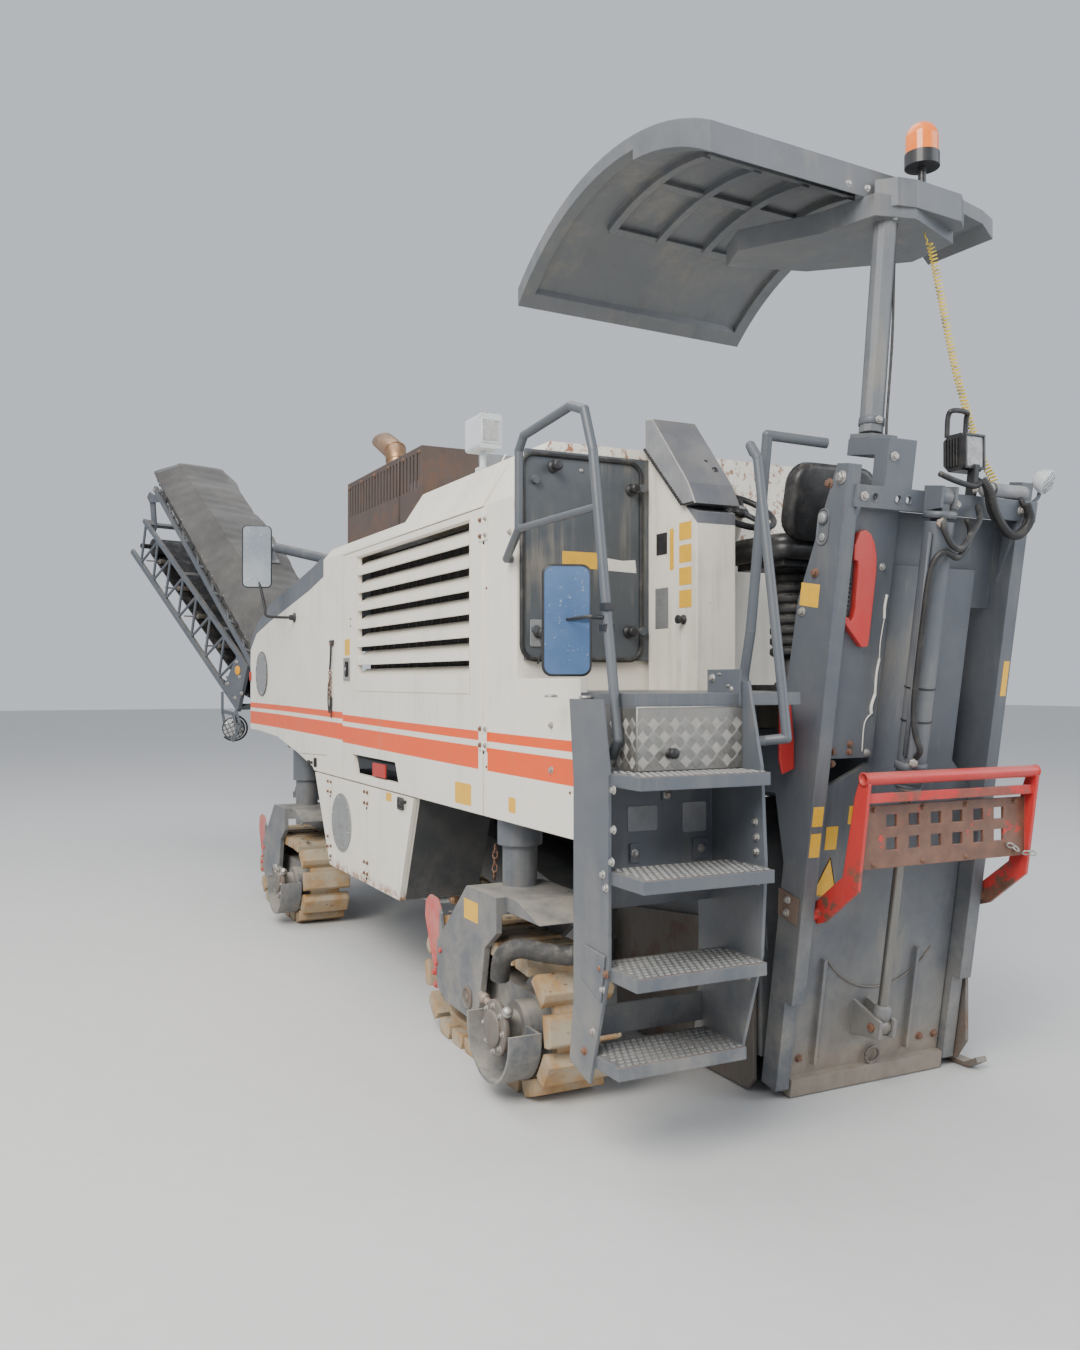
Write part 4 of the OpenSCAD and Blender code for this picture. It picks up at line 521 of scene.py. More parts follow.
LEG_Y = 805
AMBER_FROM = 3.622
MATERIALS = {
    "hood_shell": cream, "side_skirts": skirt_finish_with_shade, "console": console_paint,
    "louvre_door_left": cream, "louvre_door_right": cream, "skirt_door_rear": cream,
    "skirt_door_front": cream, "engine_block": engine_grey, "exhaust_guard": guard_brown,
    "exhaust_pipe": bronze, "air_box": box_steel, "rear_cover": cover_paint, "seat": vinyl,
    "ladder": slate, "checker_box": aluminium, "handrails": rail_paint,
    "canopy_shell": canopy_paint, "canopy_mast": canopy_paint, "beacon": amber(AMBER_FROM),
    "lamps": black, "mirrors": black, "red_hooks": red, "leg_hose": rubber,
    "coil_cord": coil_plastic, "milling_drum": cutter, "scraper_plate": blade,
    "scraper_rod": rod_steel, "guard_frame": red_guard, "steering_wheel": black, "luff_rod": chrome,
    "conveyor_rear_cover": tarp, "conveyor_rear_belt": rubber, "conveyor_front_belt": rubber,
    "rear_legs": legs_material("rear_leg_paint", (0, 1, LEG_Y), (1160, -1, LEG_Y)),
    "front_left_leg": legs_material("front_left_leg_paint", (3530, 1, LEG_Y)),
    "front_right_leg": legs_material("front_right_leg_paint", (3530, -1, LEG_Y)),
    "side_plate_left": worn_steel, "side_plate_right": worn_steel,
}
for node_name, node in NODES.items():
    finish = track if node_name.endswith("_track") else MATERIALS.get(node_name, slate)
    if node.data.materials:
        for i in range(len(node.data.materials)):
            node.data.materials[i] = finish
    else:
        node.data.materials.append(finish)


# Mesh building
def strips(rows, n):
    """Faces between rows of n points that close round."""
    return [(a * n + k, a * n + (k + 1) % n, (a + 1) * n + (k + 1) % n, (a + 1) * n + k)
        for a in range(rows - 1) for k in range(n)]


def carried(line):
    """Each point of a line with two directions square to it, carried along without twist."""
    side = None
    for i, p in enumerate(line):
        tangent = (line[min(i + 1, len(line) - 1)] - line[max(i - 1, 0)]).normalized()
        if side is None:
            side = tangent.orthogonal().normalized()
        side = (side - tangent * side.dot(tangent)).normalized()
        yield p, side, tangent.cross(side)


def circle(middle, radii, n, start=0.0):
    """Points round an ellipse, as pairs."""
    angles = [math.tau * k / n + start for k in range(n)]
    return [(middle[0] + radii[0] * math.cos(a), middle[1] + radii[1] * math.sin(a))
        for a in angles]


def closed(points):
    return points + points[:1]


class Piece:
    """Collects shapes in millimetres, in one frame of reference, and makes one object of them."""

    def __init__(self, at=WORLD):
        self.at = at
        self.verts = []
        self.faces = []
        self.tones = []
        self.smooth = []

    def put(self, verts, faces, tone, smooth=False):
        base = len(self.verts)
        self.verts += [self.at @ Vector(v) for v in verts]
        flip = self.at.determinant() < 0
        for face in faces:
            self.faces.append([base + i for i in (reversed(face) if flip else face)])
            self.tones.append(tone)
            self.smooth.append(smooth)

    def box(self, low, high, tone=0):
        (a, b, c), (d, e, f) = low, high
        verts = [(a, b, c), (d, b, c), (d, e, c), (a, e, c), (a, b, f), (d, b, f),
            (d, e, f), (a, e, f)]
        faces = [(0, 3, 2, 1), (4, 5, 6, 7), (0, 1, 5, 4), (1, 2, 6, 5), (2, 3, 7, 6), (3, 0, 4, 7)]
        self.put(verts, faces, tone)

    def prism(self, outline, axis, start, end, tone):
        """An outline pulled along an axis: (y, z) along X, (x, z) along Y, (x, y) along Z."""
        spot = {
            "X": lambda p, t: (t, p[0], p[1]),
            "Y": lambda p, t: (p[0], t, p[1]),
            "Z": lambda p, t: (p[0], p[1], t),
        }[axis]
        n = len(outline)
        area = sum(outline[i][0] * outline[(i + 1) % n][1] - outline[(i + 1) % n][0] * outline[i][1]
            for i in range(n))
        points = list(outline) if (area > 0) != (axis == "Y") else list(reversed(outline))
        verts = [spot(p, start) for p in points] + [spot(p, end) for p in points]
        faces = [list(range(n))[::-1], list(range(n, 2 * n))]
        faces += [(i, (i + 1) % n, n + (i + 1) % n, n + i) for i in range(n)]
        self.put(verts, faces, tone)

    def lathe(self, base, axis, profile, tone, sides, smooth=True, spin=0.0):
        """A (radius, height) profile turned round an axis from a base point, with closed ends."""
        base, axis = Vector(base), Vector(axis).normalized()
        side = axis.orthogonal().normalized()
        other = axis.cross(side)
        verts = []
        for radius, height in profile:
            for k in range(sides):
                a = math.tau * k / sides + spin
                verts.append(base + axis * height + radius * (math.cos(a) * side
                    + math.sin(a) * other))
        self.rows(verts, len(profile), sides, tone, smooth)

    def rows(self, verts, count, n, tone, smooth):
        """A solid of rows of n points, closed at both ends."""
        ends = [list(range(n))[::-1], list(range((count - 1) * n, count * n))]
        self.put(verts, strips(count, n) + ends, tone, smooth)

    def bolt(self, spot, axis, d, tone):
        """A washer and a hexagon head."""
        self.lathe(spot, axis, [(d * 0.72, -1), (d * 0.72, d * 0.09),
            (d * 0.6, d * 0.13)], tone, 14, False)
        head = [(d * 0.5, d * 0.1), (d * 0.5, d * 0.48), (d * 0.42, d * 0.58)]
        self.lathe(spot, axis, head, tone, 6, False, random.random())

    def bolts(self, spots, axis, d, tone):
        for spot in spots:
            self.bolt(spot, axis, d, tone)

    def bolts_left(self, y, spots, d, tone):
        """Bolts at (x, z) of a face that looks out of the left flank."""
        self.bolts([(x, y, z) for x, z in spots], LEFT, d, tone)

    def bolts_aft(self, x, spots, d, tone):
        """Bolts at (y, z) of a face that looks to the rear."""
        self.bolts([(x, y, z) for y, z in spots], AFT, d, tone)

    def sweep(self, line, radii, tone, sides):
        verts = []
        for (p, side, other), radius in zip(carried(line), radii):
            for k in range(sides):
                a = math.tau * k / sides
                verts.append(p + radius * (math.cos(a) * side + math.sin(a) * other))
        self.rows(verts, len(line), sides, tone, True)

    def tube(self, points, d, tone=0, sides=12):
        """A round tube along points, with closed ends."""
        line = [Vector(p) for p in points]
        self.sweep(line, [d / 2] * len(line), tone, sides)

    def hose(self, points, steps, d, tone, sides):
        """A tube along a smooth curve through points."""
        self.tube(smooth_line(points, steps), d, tone, sides)

    def ribbed(self, points, d, pitch, tone=0, groove=0.84, sides=12):
        """A corrugated hose: rings of two diameters along a smooth line."""
        line = even([Vector(p) for p in points], pitch / 4)
        self.sweep(line, [d / 2 * (1.0 if i % 4 else groove) for i in range(len(line))], tone,
            sides)

    def plate(self, low, high, axis, start, end, tone=0):
        """A prism over a rectangle."""
        (a, b), (c, d) = low, high
        self.prism([(a, b), (c, b), (c, d), (a, d)], axis, start, end, tone)

    def rounded(self, middle, size, axis, start, end, tone):
        """A prism over a round-cornered rectangle: width, height and radius about its middle."""
        self.prism([(middle[0] + a, middle[1] + b) for a, b in round_box(*size)], axis,
            start, end, tone)

    def frame_of(self, low, high, axis, start, end, width, tone):
        """A frame of four strips round an opening, low and high being its outer corners."""
        (a, b), (c, d) = low, high
        for p, q in (((a, b), (c, b + width)), ((a, d - width), (c, d)),
                ((a, b + width), (a + width, d - width)), ((c - width, b + width), (c, d - width))):
            self.plate(p, q, axis, start, end, tone)

    def make(self, name, finishes, bevel=0.0, segments=2, body="chassis", replaces=()):
        """The object, riding on its body; bevel is in millimetres."""
        mesh = bpy.data.meshes.new(name)
        mesh.from_pydata([tuple(v) for v in self.verts], [], self.faces)
        finishes = finishes if isinstance(finishes, (list, tuple)) else [finishes]
        for material in finishes:
            mesh.materials.append(material)
        for polygon, tone, smooth in zip(mesh.polygons, self.tones, self.smooth):
            polygon.material_index = tone
            polygon.use_smooth = smooth
        mesh.update()
        obj = add_object(name, mesh)
        if bevel:
            modifier = obj.modifiers.new("bevel", "BEVEL")
            modifier.width = bevel * MM
            modifier.segments = segments
            modifier.limit_method = "ANGLE"
            modifier.angle_limit = math.radians(50)
            modifier.harden_normals = False
        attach(obj, body)
        if replaces:
            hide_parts(*replaces)
        return obj


def smooth_line(points, steps):
    """A smooth curve through points, as a list of points."""
    pts = [Vector(p) for p in points]
    line = []
    for i in range(len(pts) - 1):
        a, b, c, d = pts[max(i - 1, 0)], pts[i], pts[i + 1], pts[min(i + 2, len(pts) - 1)]
        for k in range(steps):
            t = k / steps
            line.append(0.5 * (2 * b + (c - a) * t + (2 * a - 5 * b + 4 * c - d) * t * t
                + (3 * b - a - 3 * c + d) * t ** 3))
    return line + [pts[-1]]


def even(points, step):
    """The same line with its points a set distance apart."""
    line = [points[0]]
    left = step
    for a, b in zip(points, points[1:]):
        length = (b - a).length
        while length >= left:
            a = a + (b - a) * (left / length)
            line.append(a)
            length = (b - a).length
            left = step
        left -= length
    if (line[-1] - points[-1]).length > step * 0.2:
        line.append(points[-1])
    return line


def round_box(w, h, r, steps=5):
    """A rectangle's outline with round corners, about its middle."""
    points = []
    for cx, cy, start in ((w / 2 - r, h / 2 - r, 0), (-w / 2 + r, h / 2 - r, 90),
            (-w / 2 + r, -h / 2 + r, 180), (w / 2 - r, -h / 2 + r, 270)):
        for k in range(steps + 1):
            a = math.radians(start + 90 * k / steps)
            points.append((cx + r * math.cos(a), cy + r * math.sin(a)))
    return points


random.seed(7)

# The coiled cable from the roof's arm to the rear frame, and the hoses that replace CAD solids
COIL_WIRE = 5.0
COIL_RADIUS = 13.5
COIL_PITCH = 14.0
COIL_STEPS = 12
COIL_LEAD = 5
CORD_PATH = [(-1150, -420, 3354.7), (-1150, -420, 3335), (-1155, -450, 3290), (-1160, -490, 3130),
    (-1165, -530, 2960), (-1172, -570, 2800), (-1182, -620, 2650), (-1205, -660, 2500),
    (-1250, -675, 2400), (-1266, -675, 2335)]


def coil_points():
    """A helix round the cable's line; radius and turn rate grow from nothing at both ends."""
    rough = smooth_line(CORD_PATH, 20)
    total = sum((b - a).length for a, b in zip(rough, rough[1:]))
    count = round(total / COIL_PITCH * COIL_STEPS)
    line = even(rough, total / count)[:count] + [rough[-1]]
    lead = COIL_LEAD * COIL_STEPS
    points = []
    angle = 0.0
    for i, (p, side, other) in enumerate(carried(line)):
        swell = min(1.0, i / lead, (len(line) - 1 - i) / lead)
        swell = swell * swell * (3 - 2 * swell)
        radius = COIL_RADIUS * swell
        angle += math.tau / COIL_STEPS * swell ** 1.5
        points.append(WORLD @ (p + radius * (math.cos(angle) * side + math.sin(angle) * other)))
    return points


coil = coil_points()
coil_data = bpy.data.curves.new("coiled_cable", "CURVE")
coil_data.dimensions = "3D"
coil_data.bevel_depth = COIL_WIRE / 2 * MM
coil_data.bevel_resolution = 2
coil_data.use_fill_caps = True
spline = coil_data.splines.new("POLY")
spline.points.add(len(coil) - 1)
for knot, place in zip(spline.points, coil):
    knot.co = (*place, 1)
spline.use_smooth = True
coil_data.materials.append(coil_plastic)
coiled_cable = add_object("coiled_cable", coil_data)
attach(coiled_cable, "chassis")
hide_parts("coil_cord")
coil_length = sum((b - a).length for a, b in zip(coil, coil[1:]))
tuple(coil[0])

HOSE_PATH = [(-430, 650, 1129.7), (-430, 650, 1080), (-455, 665, 1030), (-530, 700, 960),
    (-640, 730, 880), (-690, 760, 760), (-700, 790, 640), (-650, 850, 590), (-570, 930, 590),
    (-500, 1010, 600), (-440, 1050, 560), (-410, 1050, 470)]
leg_hose = Piece()
hose_line = smooth_line(HOSE_PATH, 10)
WRAPPED_SHARE = 0.64
cut = int(len(hose_line) * WRAPPED_SHARE)
# Overlapping collars of the protected part
starts = even(hose_line[:cut], 40)
for p, q in zip(starts, starts[1:]):
    leg_hose.lathe(p, q - p, [(31, -4), (38, 2), (38.5, 26), (35, 40), (30, 46)], 0, 18)
leg_hose.tube(hose_line[:cut + 1], 58)
leg_hose.ribbed(hose_line[cut - 2:], 76, 9, 1, 0.95, 16)
leg_hose.make("leg_hose_wrapped", [rubber, hose_dusty], replaces=["leg_hose"])


# Mirrors, lamps, exhaust and seat stand for their plain solids
def mirror_head(piece, centre, yaw, w, h, arm, d, tone=1):
    """A mirror's shell and glass, turned about the upright, with its arm."""
    piece.at = WORLD @ move(*centre) @ turn(yaw, "Z")
    outline = round_box(w, h, 34)
    inner = round_box(w - 16, h - 16, 28)
    n = len(outline)
    layers = [(inner, -15), (outline, -13), (outline, -4),
        ([(y * 0.9, z * 0.93) for y, z in outline], 14),
        ([(y * 0.6, z * 0.7) for y, z in outline], 18)]
    verts = [(x, y, z) for points, x in layers for y, z in points]
    faces = strips(len(layers), n) + [list(range((len(layers) - 1) * n, len(layers) * n))]
    piece.put(verts, [tuple(reversed(f)) for f in faces], 0, True)
    piece.prism(inner, "X", -15.5, -11, tone)
    piece.at = WORLD
    piece.hose(arm, 6, d, 0, 10)


# The mirrors' glass carries painted sky reflections
mirrors = Piece()
mirror_head(mirrors, (-1010, 1075, 1825), -20, 170, 380,
    [(-1156, 1016, 1830), (-1156, 1060, 1830), (-1120, 1068, 1831), (-1010, 1078, 1828)], 16)
mirror_head(mirrors, (3420, 1150, 2475), -15, 200, 430, [(3370, 905, 2060), (3370, 1040, 2060),
    (3370, 1100, 2072), (3372, 1106, 2120), (3398, 1128, 2250), (3410, 1140, 2300)], 20, 2)
mirrors.lathe((3370, 899, 2060), LEFT, [(34, 0), (34, 10), (20, 14), (18, 40)], 0, 16)
for z in (1795, 1865):
    mirrors.box((-1176, 982, z - 12), (-1140, 1020, z + 12))
mirrors.make("rear_view_mirrors", [black, glass, pale_glass], replaces=["mirrors"])

lamps = Piece()
lamps.prism([(-1279, 2440), (-1262, 2424), (-1200, 2424), (-1174, 2452), (-1174, 2545),
    (-1200, 2566), (-1262, 2566), (-1279, 2550)], "Y", -592, -488, 0)
lamps.plate((-582, 2438), (-498, 2552), "X", -1282, -1276, 1)
lamps.frame_of((-592, 2428), (-488, 2562), "X", -1287, -1278, 9, 0)
lamps.hose([(-1190, -588, 2560), (-1196, -588, 2640), (-1210, -576, 2662), (-1210, -504, 2662),
    (-1196, -492, 2640), (-1190, -492, 2560)], 6, 20, 0, 10)
for k in range(5):
    lamps.box((-1252 + k * 14, -486, 2440), (-1246 + k * 14, -478, 2550))
lamps.hose([(-1262, -540, 2428), (-1274, -550, 2402), (-1292, -575, 2380), (-1308, -600, 2362)],
    8, 12, 0, 8)
lamps.at = REAR
lamps.box((-45, -552, 2330.5), (-8, -528, 2450))
lamps.bolt((-46, -540, 2352), AFT, 18, 2)
lamps.at = WORLD
lamps.make("work_lamp", [black, lens, zinc], bevel=3, replaces=["lamps"])

hood_lamp = Piece()
hood_lamp.rounded((700, 2800), (116, 160, 16), "X", 478, 645, 0)
hood_lamp.rounded((700, 2800), (120, 166, 18), "X", 470, 482, 0)
hood_lamp.frame_of((652, 2742), (748, 2858), "X", 466, 471, 7, 0)
hood_lamp.plate((656, 2746), (744, 2854), "X", 467, 470.5, 1)
hood_lamp.lathe((560, 700, 2610), UP, [(34, 0), (34, 8), (17, 12), (15, 112)], 0, 16)
hood_lamp.box((530, 672, 2612), (590, 728, 2640))
for k in range(4):
    hood_lamp.hose([(492, 660 + k * 22, 2882), (490, 660 + k * 22, 2892), (520, 664 + k * 22, 2892),
        (524, 664 + k * 22, 2880)], 4, 5, 2, 6)
hood_lamp.make("hood_lamp", [lamp_white, lens, zinc], bevel=2)

exhaust = Piece()
PIPE = (2150, 580)
PIPE_OUT, PIPE_IN = 66.5, 62.5
RING_POINTS = 40
exhaust.lathe((*PIPE, 2460.3), UP, [(66, 0), (66, 440), (69, 442), (69, 452),
    (PIPE_OUT, 454)], 0, RING_POINTS)


def pipe_ring(x, z, lean, cut, radius):
    """A ring about (x, z), square to a direction that leans forward, cut at another lean."""
    direction, normal = (Vector((math.sin(math.radians(a)), 0, math.cos(math.radians(a))))
        for a in (lean, cut))
    across = Vector((direction.z, 0, -direction.x))
    ring = []
    for k in range(RING_POINTS):
        a = math.tau * k / RING_POINTS
        offset = radius * (math.cos(a) * across + math.sin(a) * Vector(LEFT))
        offset = offset - direction * (offset.dot(normal) / direction.dot(normal))
        ring.append(Vector((x, PIPE[1], z)) + offset)
    return ring


# A sheet elbow: each bend's place, its lean and the lean of its cut; the end is open
BENDS = ((2150, 2962, 0, 16), (2186, 3028, 32, 46), (2420, 3140, 62, 22))
outside = [pipe_ring(PIPE[0], 2912, 0, 0, PIPE_OUT)] + [pipe_ring(*bend, PIPE_OUT)
    for bend in BENDS]
inside = [pipe_ring(*bend, PIPE_IN) for bend in reversed(BENDS)]
rings = outside + inside
exhaust.put([p for ring in rings for p in ring], strips(len(rings), RING_POINTS), 0, True)
for bend in BENDS[:2]:
    exhaust.tube(closed(pipe_ring(*bend, PIPE_OUT + 1)), 5, 0, 6)
exhaust.make("exhaust_elbow", bronze, replaces=["exhaust_pipe"])


# Flanks: hinges, bolts, labels, latches and the doors of the side boxes
HINGES = (2285, 1377)
HINGE_X = 90
BOX_HINGES = (1736, 2476)
LABEL = 0.6
VENT = (4378, 1675)
BOX_VENT = (2231, 767)
KNOB = [(9, 0.3), (9, 14), (17, 18), (19, 30), (13, 36)]


def hinge_leaf(piece, x_from, x_to, z, height):
    """A leaf with two bolts, beside a hinge's knuckle."""
    piece.plate((x_from, z - height / 2), (x_to, z + height / 2), "Y", SIDE + 0.3, SIDE + 4, 0)
    middle = (x_from + x_to) / 2
    piece.bolts_left(SIDE + 4, [(middle, z + s * height * 0.3) for s in (-1, 1)], 17, 1)


def knuckle(piece, x, z, height):
    """A hinge's barrel of five turned parts, with its pin showing below."""
    part = height / 5
    foot = z - height / 2
    for k in range(5):
        piece.lathe((x, SIDE, foot + k * part + 1), UP,
            [(5.5, 0), (7, 1), (7, part - 3), (5.5, part - 2)], 0, 14)
    piece.lathe((x, SIDE, foot - 16), UP, [(3, 0), (6, 5), (6, 15)], 2, 12)


def blank_label(piece, x0, x1, z0, z1, tone):
    """A thin round-cornered plate without print."""
    piece.rounded(((x0 + x1) / 2, (z0 + z1) / 2), (x1 - x0, z1 - z0, 8), "Y", SIDE + 0.2,
        SIDE + LABEL, tone)


for at, side in ((WORLD, "left"), (FLIPPED, "right")):
    door = "engine_door_" + side
    fixed = Piece(at)
    moving = Piece(at)
    for z in HINGES:
        hinge_leaf(fixed, 46, 84, z, 118)
        knuckle(moving, HINGE_X, z, 118)
        hinge_leaf(moving, 101, 140, z, 118)
    fixed.bolts_left(SIDE, [(-181, 2233), (-181, 2118), (-556, 1451), (-556, 1280)], 20, 1)
    fixed.bolts_left(SIDE, [(-708, 1207), (60, 1250), (60, 2020)], 9, 2)
    fixed.make("flank_hinges_" + side, [cream, zinc, bolt_rusty],
        bevel=0.8, segments=1)
    screen = Piece(at)
    # A near-black plate behind the louvres is painted shade of the engine bay; the bars across it
    # are rusty sheet
    screen.plate((262, 1618), (1908, 2328), "Y", SIDE - 80, SIDE - 76, 0)
    for k in range(14):
        screen.tube([(330 + k * 115, SIDE - 74, 1618), (330 + k * 115, SIDE - 74, 2328)], 6, 1, 6)
    screen.make("louvre_screen_" + side, [shade_black, guard_brown], body=door)
    moving.make("door_hinge_leaves_" + side, [cream, bolt_rusty, black], bevel=0.8,
        segments=1, body=door)
    moulding = Piece(at)
    moulding.frame_of((242, 1562), (1928, 2343), "Y", SIDE + 0.3, SIDE + 3, 5, 0)
    moulding.bolts_left(SIDE, [(2050, 1985), (2050, 1944)], 9, 1)
    moulding.make("louvre_moulding_" + side, [cream, bolt_rusty],
        bevel=1.2, body=door)
    lock = Piece(at)
    lock.rounded((2120, 1690), (118, 136, 22), "Y", SIDE + 0.2, SIDE + 4, 0)
    lock.frame_of((2061, 1622), (2179, 1758), "Y", SIDE + 3.5, SIDE + 7, 14, 0)
    # Near-black in the latch's recess: painted shade
    lock.rounded((2120, 1690), (74, 92, 14), "Y", SIDE + 4, SIDE + 6, 1)
    lock.rounded((2120, 1690), (40, 62, 8), "Y", SIDE + 6, SIDE + 13, 2)
    lock.lathe((2120, SIDE + 13, 1690), LEFT, [(11, 0), (11, 3), (8, 4)], 0, 16)
    lock.make("door_latch_" + side, [zinc, shade_black, black], bevel=1, body=door)
    labels = Piece(at)
    blank_label(labels, 2068, 2172, 1772, 1868, 0)
    blank_label(labels, 230, 420, 1064, 1160, 0)
    labels.make("door_labels_" + side, yellow, body=door)
    rear_label = Piece(at)
    blank_label(rear_label, -233, -165, 1080, 1142, 0)
    rear_label.make("corner_label_" + side, yellow)
    reflector = Piece(at)
    reflector.plate((1435, 1092), (1651, 1166), "Y", SIDE - 14, SIDE - 3, 0)
    reflector.make("recess_reflector_" + side, red_lens, bevel=3, body=door)
    vent = Piece(at)
    disc = circle(VENT, (190, 170), 48)
    vent.prism(disc, "Y", SIDE + 0.2, SIDE + 7, 0)
    vent.bolts([(x, SIDE + 7, z) for x, z in circle(VENT, (165, 147), 6, 0.5)], LEFT, 13, 1)
    vent.tube([(x, SIDE + 7, z) for x, z in closed(disc)], 5, 2, 6)
    vent.make("nose_vent_" + side, [galvanised, zinc, rubber], bevel=1)
    tail = Piece(at)
    tail.rounded((4775, 1658), (24, 74, 10), "Y", SIDE + 0.2, SIDE + 14, 0)
    tail.make("nose_reflector_" + side, red_lens, bevel=2)

# A worn pull strap and its chain hang on the left flank
strap = Piece()
strap.prism([(2395, 1872), (2480, 1872), (2470, 1838), (2405, 1838)], "Y", SIDE + 0.3, SIDE + 10, 0)
strap.lathe((2438, SIDE + 10, 1850), LEFT, [(9, 0), (9, 5), (6, 7)], 1, 10)
strap.hose([(2440, SIDE + 9, 1850), (2432, SIDE + 13, 1760), (2446, SIDE + 14, 1690)], 8, 13, 0, 8)
for k in range(12):
    z = 1685 - k * 15
    flat = k % 2
    link = [(2446 + (0 if flat else 9 * math.cos(a)), SIDE + 13 + (9 * math.cos(a) if flat else 0),
        z + 13 * math.sin(a)) for a in [math.tau * j / 12 for j in range(13)]]
    strap.tube(link, 4.5, 1, 6)
strap.hose([(2440, SIDE + 12, 1640), (2480, SIDE + 12, 1600), (2492, SIDE + 12, 1500),
    (2470, SIDE + 12, 1425), (2448, SIDE + 12, 1470), (2446, SIDE + 12, 1560)], 8, 9, 2, 8)
strap.prism([(2424, 1520), (2446, 1520), (2440, 1390), (2432, 1390)], "Y", SIDE + 6, SIDE + 11, 0)
strap.make("pull_strap_and_chain", [rubber, bolt_rusty, hose_dusty],
    bevel=1, segments=1)

box_fixed = Piece()
box_rear = Piece()
box_front = Piece()
for z in (963, 567):
    hinge_leaf(box_front, 1750, 1786, z, 104)
    hinge_leaf(box_rear, 1694, 1730, z, 104)
    knuckle(box_rear, BOX_HINGES[0], z, 104)
    knuckle(box_front, BOX_HINGES[1], z, 104)
    hinge_leaf(box_fixed, 2494, 2532, max(z, 620), 104)
    hinge_leaf(box_front, 2428, 2466, z, 104)
box_fixed.make("box_hinges", [cream, bolt_rusty], bevel=0.8, segments=1)
blank_label(box_rear, 1312, 1404, 979, 1024, 3)
blank_label(box_rear, 1410, 1507, 979, 1024, 4)
box_rear.rounded((1160, 985), (84, 64, 8), "Y", SIDE + 0.2, SIDE + 9, 2)
# Near-black in the handle's recess: painted shade
box_rear.rounded((1160, 985), (50.4, 40, 6), "Y", SIDE + 9, SIDE + 12, 5)
box_rear.lathe((1085, SIDE, 1000), LEFT, KNOB, 2, 18)
box_rear.make("rear_box_fittings", [cream, bolt_rusty, black, yellow, white, shade_black],
    bevel=0.8, segments=1, body="box_door_rear")
box_front.prism(circle(BOX_VENT, (200, 175), 48), "Y", SIDE + 0.3, SIDE + 6, 3)
box_front.bolts([(x, SIDE + 6, z) for x, z in circle(BOX_VENT, (170, 148), 6, 0.3)], LEFT, 12, 4)
box_front.make("front_box_fittings", [cream, bolt_rusty, black, galvanised, zinc],
    bevel=0.8, segments=1, body="box_door_front")
side_latch = Piece()
# A near-black patch round the knob: painted shade of its recess
side_latch.rounded((2830, 1090), (70, 60, 4), "Y", SIDE + 0.2, SIDE + 3, 0)
side_latch.lathe((2905, SIDE, 1085), LEFT, KNOB, 1, 18)
side_latch.tube([(x, SIDE + 0.6, z) for x, z in ((2560, 1153), (2900, 1140), (3240, 1128))],
    3, 2, 6)
side_latch.make("nose_latch_and_seam", [shade_black, black, bolt_rusty],
    bevel=0.6, segments=1)

# Rear cover: its seal, knobs and worn labels; the console's dash and its seal
REAR_COVER_X = -272.3
CONSOLE_FACE = 290.2
cover = Piece()
seal = [(610 + y, 2127 + z) for y, z in round_box(564, 838, 60, 6)]
cover.tube([(-275, y, z) for y, z in closed(seal)], 20, 0, 10)
for y, z in ((749, 2499), (379, 2430), (391, 1828)):
    cover.lathe((-274, y, z), AFT, [(26, 0), (26, 8), (15, 12), (13, 26), (20, 30), (22, 46),
        (16, 54)], 1, 20)
cover.rounded((819, 1815), (70, 110, 8), "X", -277, REAR_COVER_X, 2)
cover.lathe((-277, 819, 1815), AFT, [(22, 0), (22, 10), (14, 14), (14, 30), (22, 34), (22, 48),
    (15, 54)], 1, 20)
cover.hose([(-300, 819, 1800), (-318, 822, 1740), (-306, 836, 1690)], 8, 10, 1, 8)
cover.bolt((REAR_COVER_X, 617, 2495), AFT, 12, 3)
cover.plate((541, 2087), (706, 2156), "X", -273.2, REAR_COVER_X, 4)
cover.prism([(351, 2079), (498, 2084), (492, 2136), (420, 2128), (356, 2134)], "X",
    -273.2, REAR_COVER_X, 5)
cover.make("rear_cover_seal_and_knobs", [rubber, black, galvanised, zinc, yellow, white],
    bevel=1, segments=1)

dash = Piece()
dash.prism([(-640, 2334), (-556, 2334), (-276, 2604), (-276, 2736), (-332, 2724), (-592, 2422)],
    "Y", 305.3, 307, 0)
for k in range(26):
    t = k / 25
    x, z = -556 + 280 * t, 2334 + 270 * t
    dash.box((x - 5, 306, z - 2), (x + 5, 315, z + 9), 1)
dash.tube([(-640, 310, 2334), (-556, 310, 2334), (-276, 310, 2604)], 9, 1, 8)
for k in range(4):
    z = 2230 - k * 92
    dash.plate((-600, z - 36), (-510, z + 36), "Y", CONSOLE_FACE, 291, 2)
for low, high, face, tone in (((-470, 2080), (-440, 2250), 291, 2),
        ((-420, 2150), (-340, 2240), 293, 3), ((-430, 1840), (-330, 2010), 292, 4)):
    dash.plate(low, high, "Y", CONSOLE_FACE, face, tone)
dash.lathe((-545, 290, 1870), LEFT, [(20, 0), (20, 6), (12, 9), (12, 22), (18, 24),
    (18, 34)], 3, 16)
dash.make("dash_cover_and_labels", [dash_grey, rubber, yellow, black, galvanised],
    bevel=1, segments=1)
levers = Piece()
for k, (x, y) in enumerate(((-520, 130), (-480, 150), (-440, 170), (-400, 190))):
    levers.tube([(x, y, 2380 + (x + 520) * 0.96), (x - 10, y, 2470 + (x + 520) * 0.9)], 9, 1, 8)
    levers.lathe((x - 10, y, 2470 + (x + 520) * 0.9), UP,
        [(8, -4), (15, 6), (17, 20), (12, 32), (4, 36)], 0, 14)
levers.make("control_levers", [black, chrome])


# Ladder: dimpled treads, bolts and blank plates
STEPS = ((400, -1320), (705, -1430), (1012, -1470), (1325, -1450))
TREAD_Y = (560, 1052)

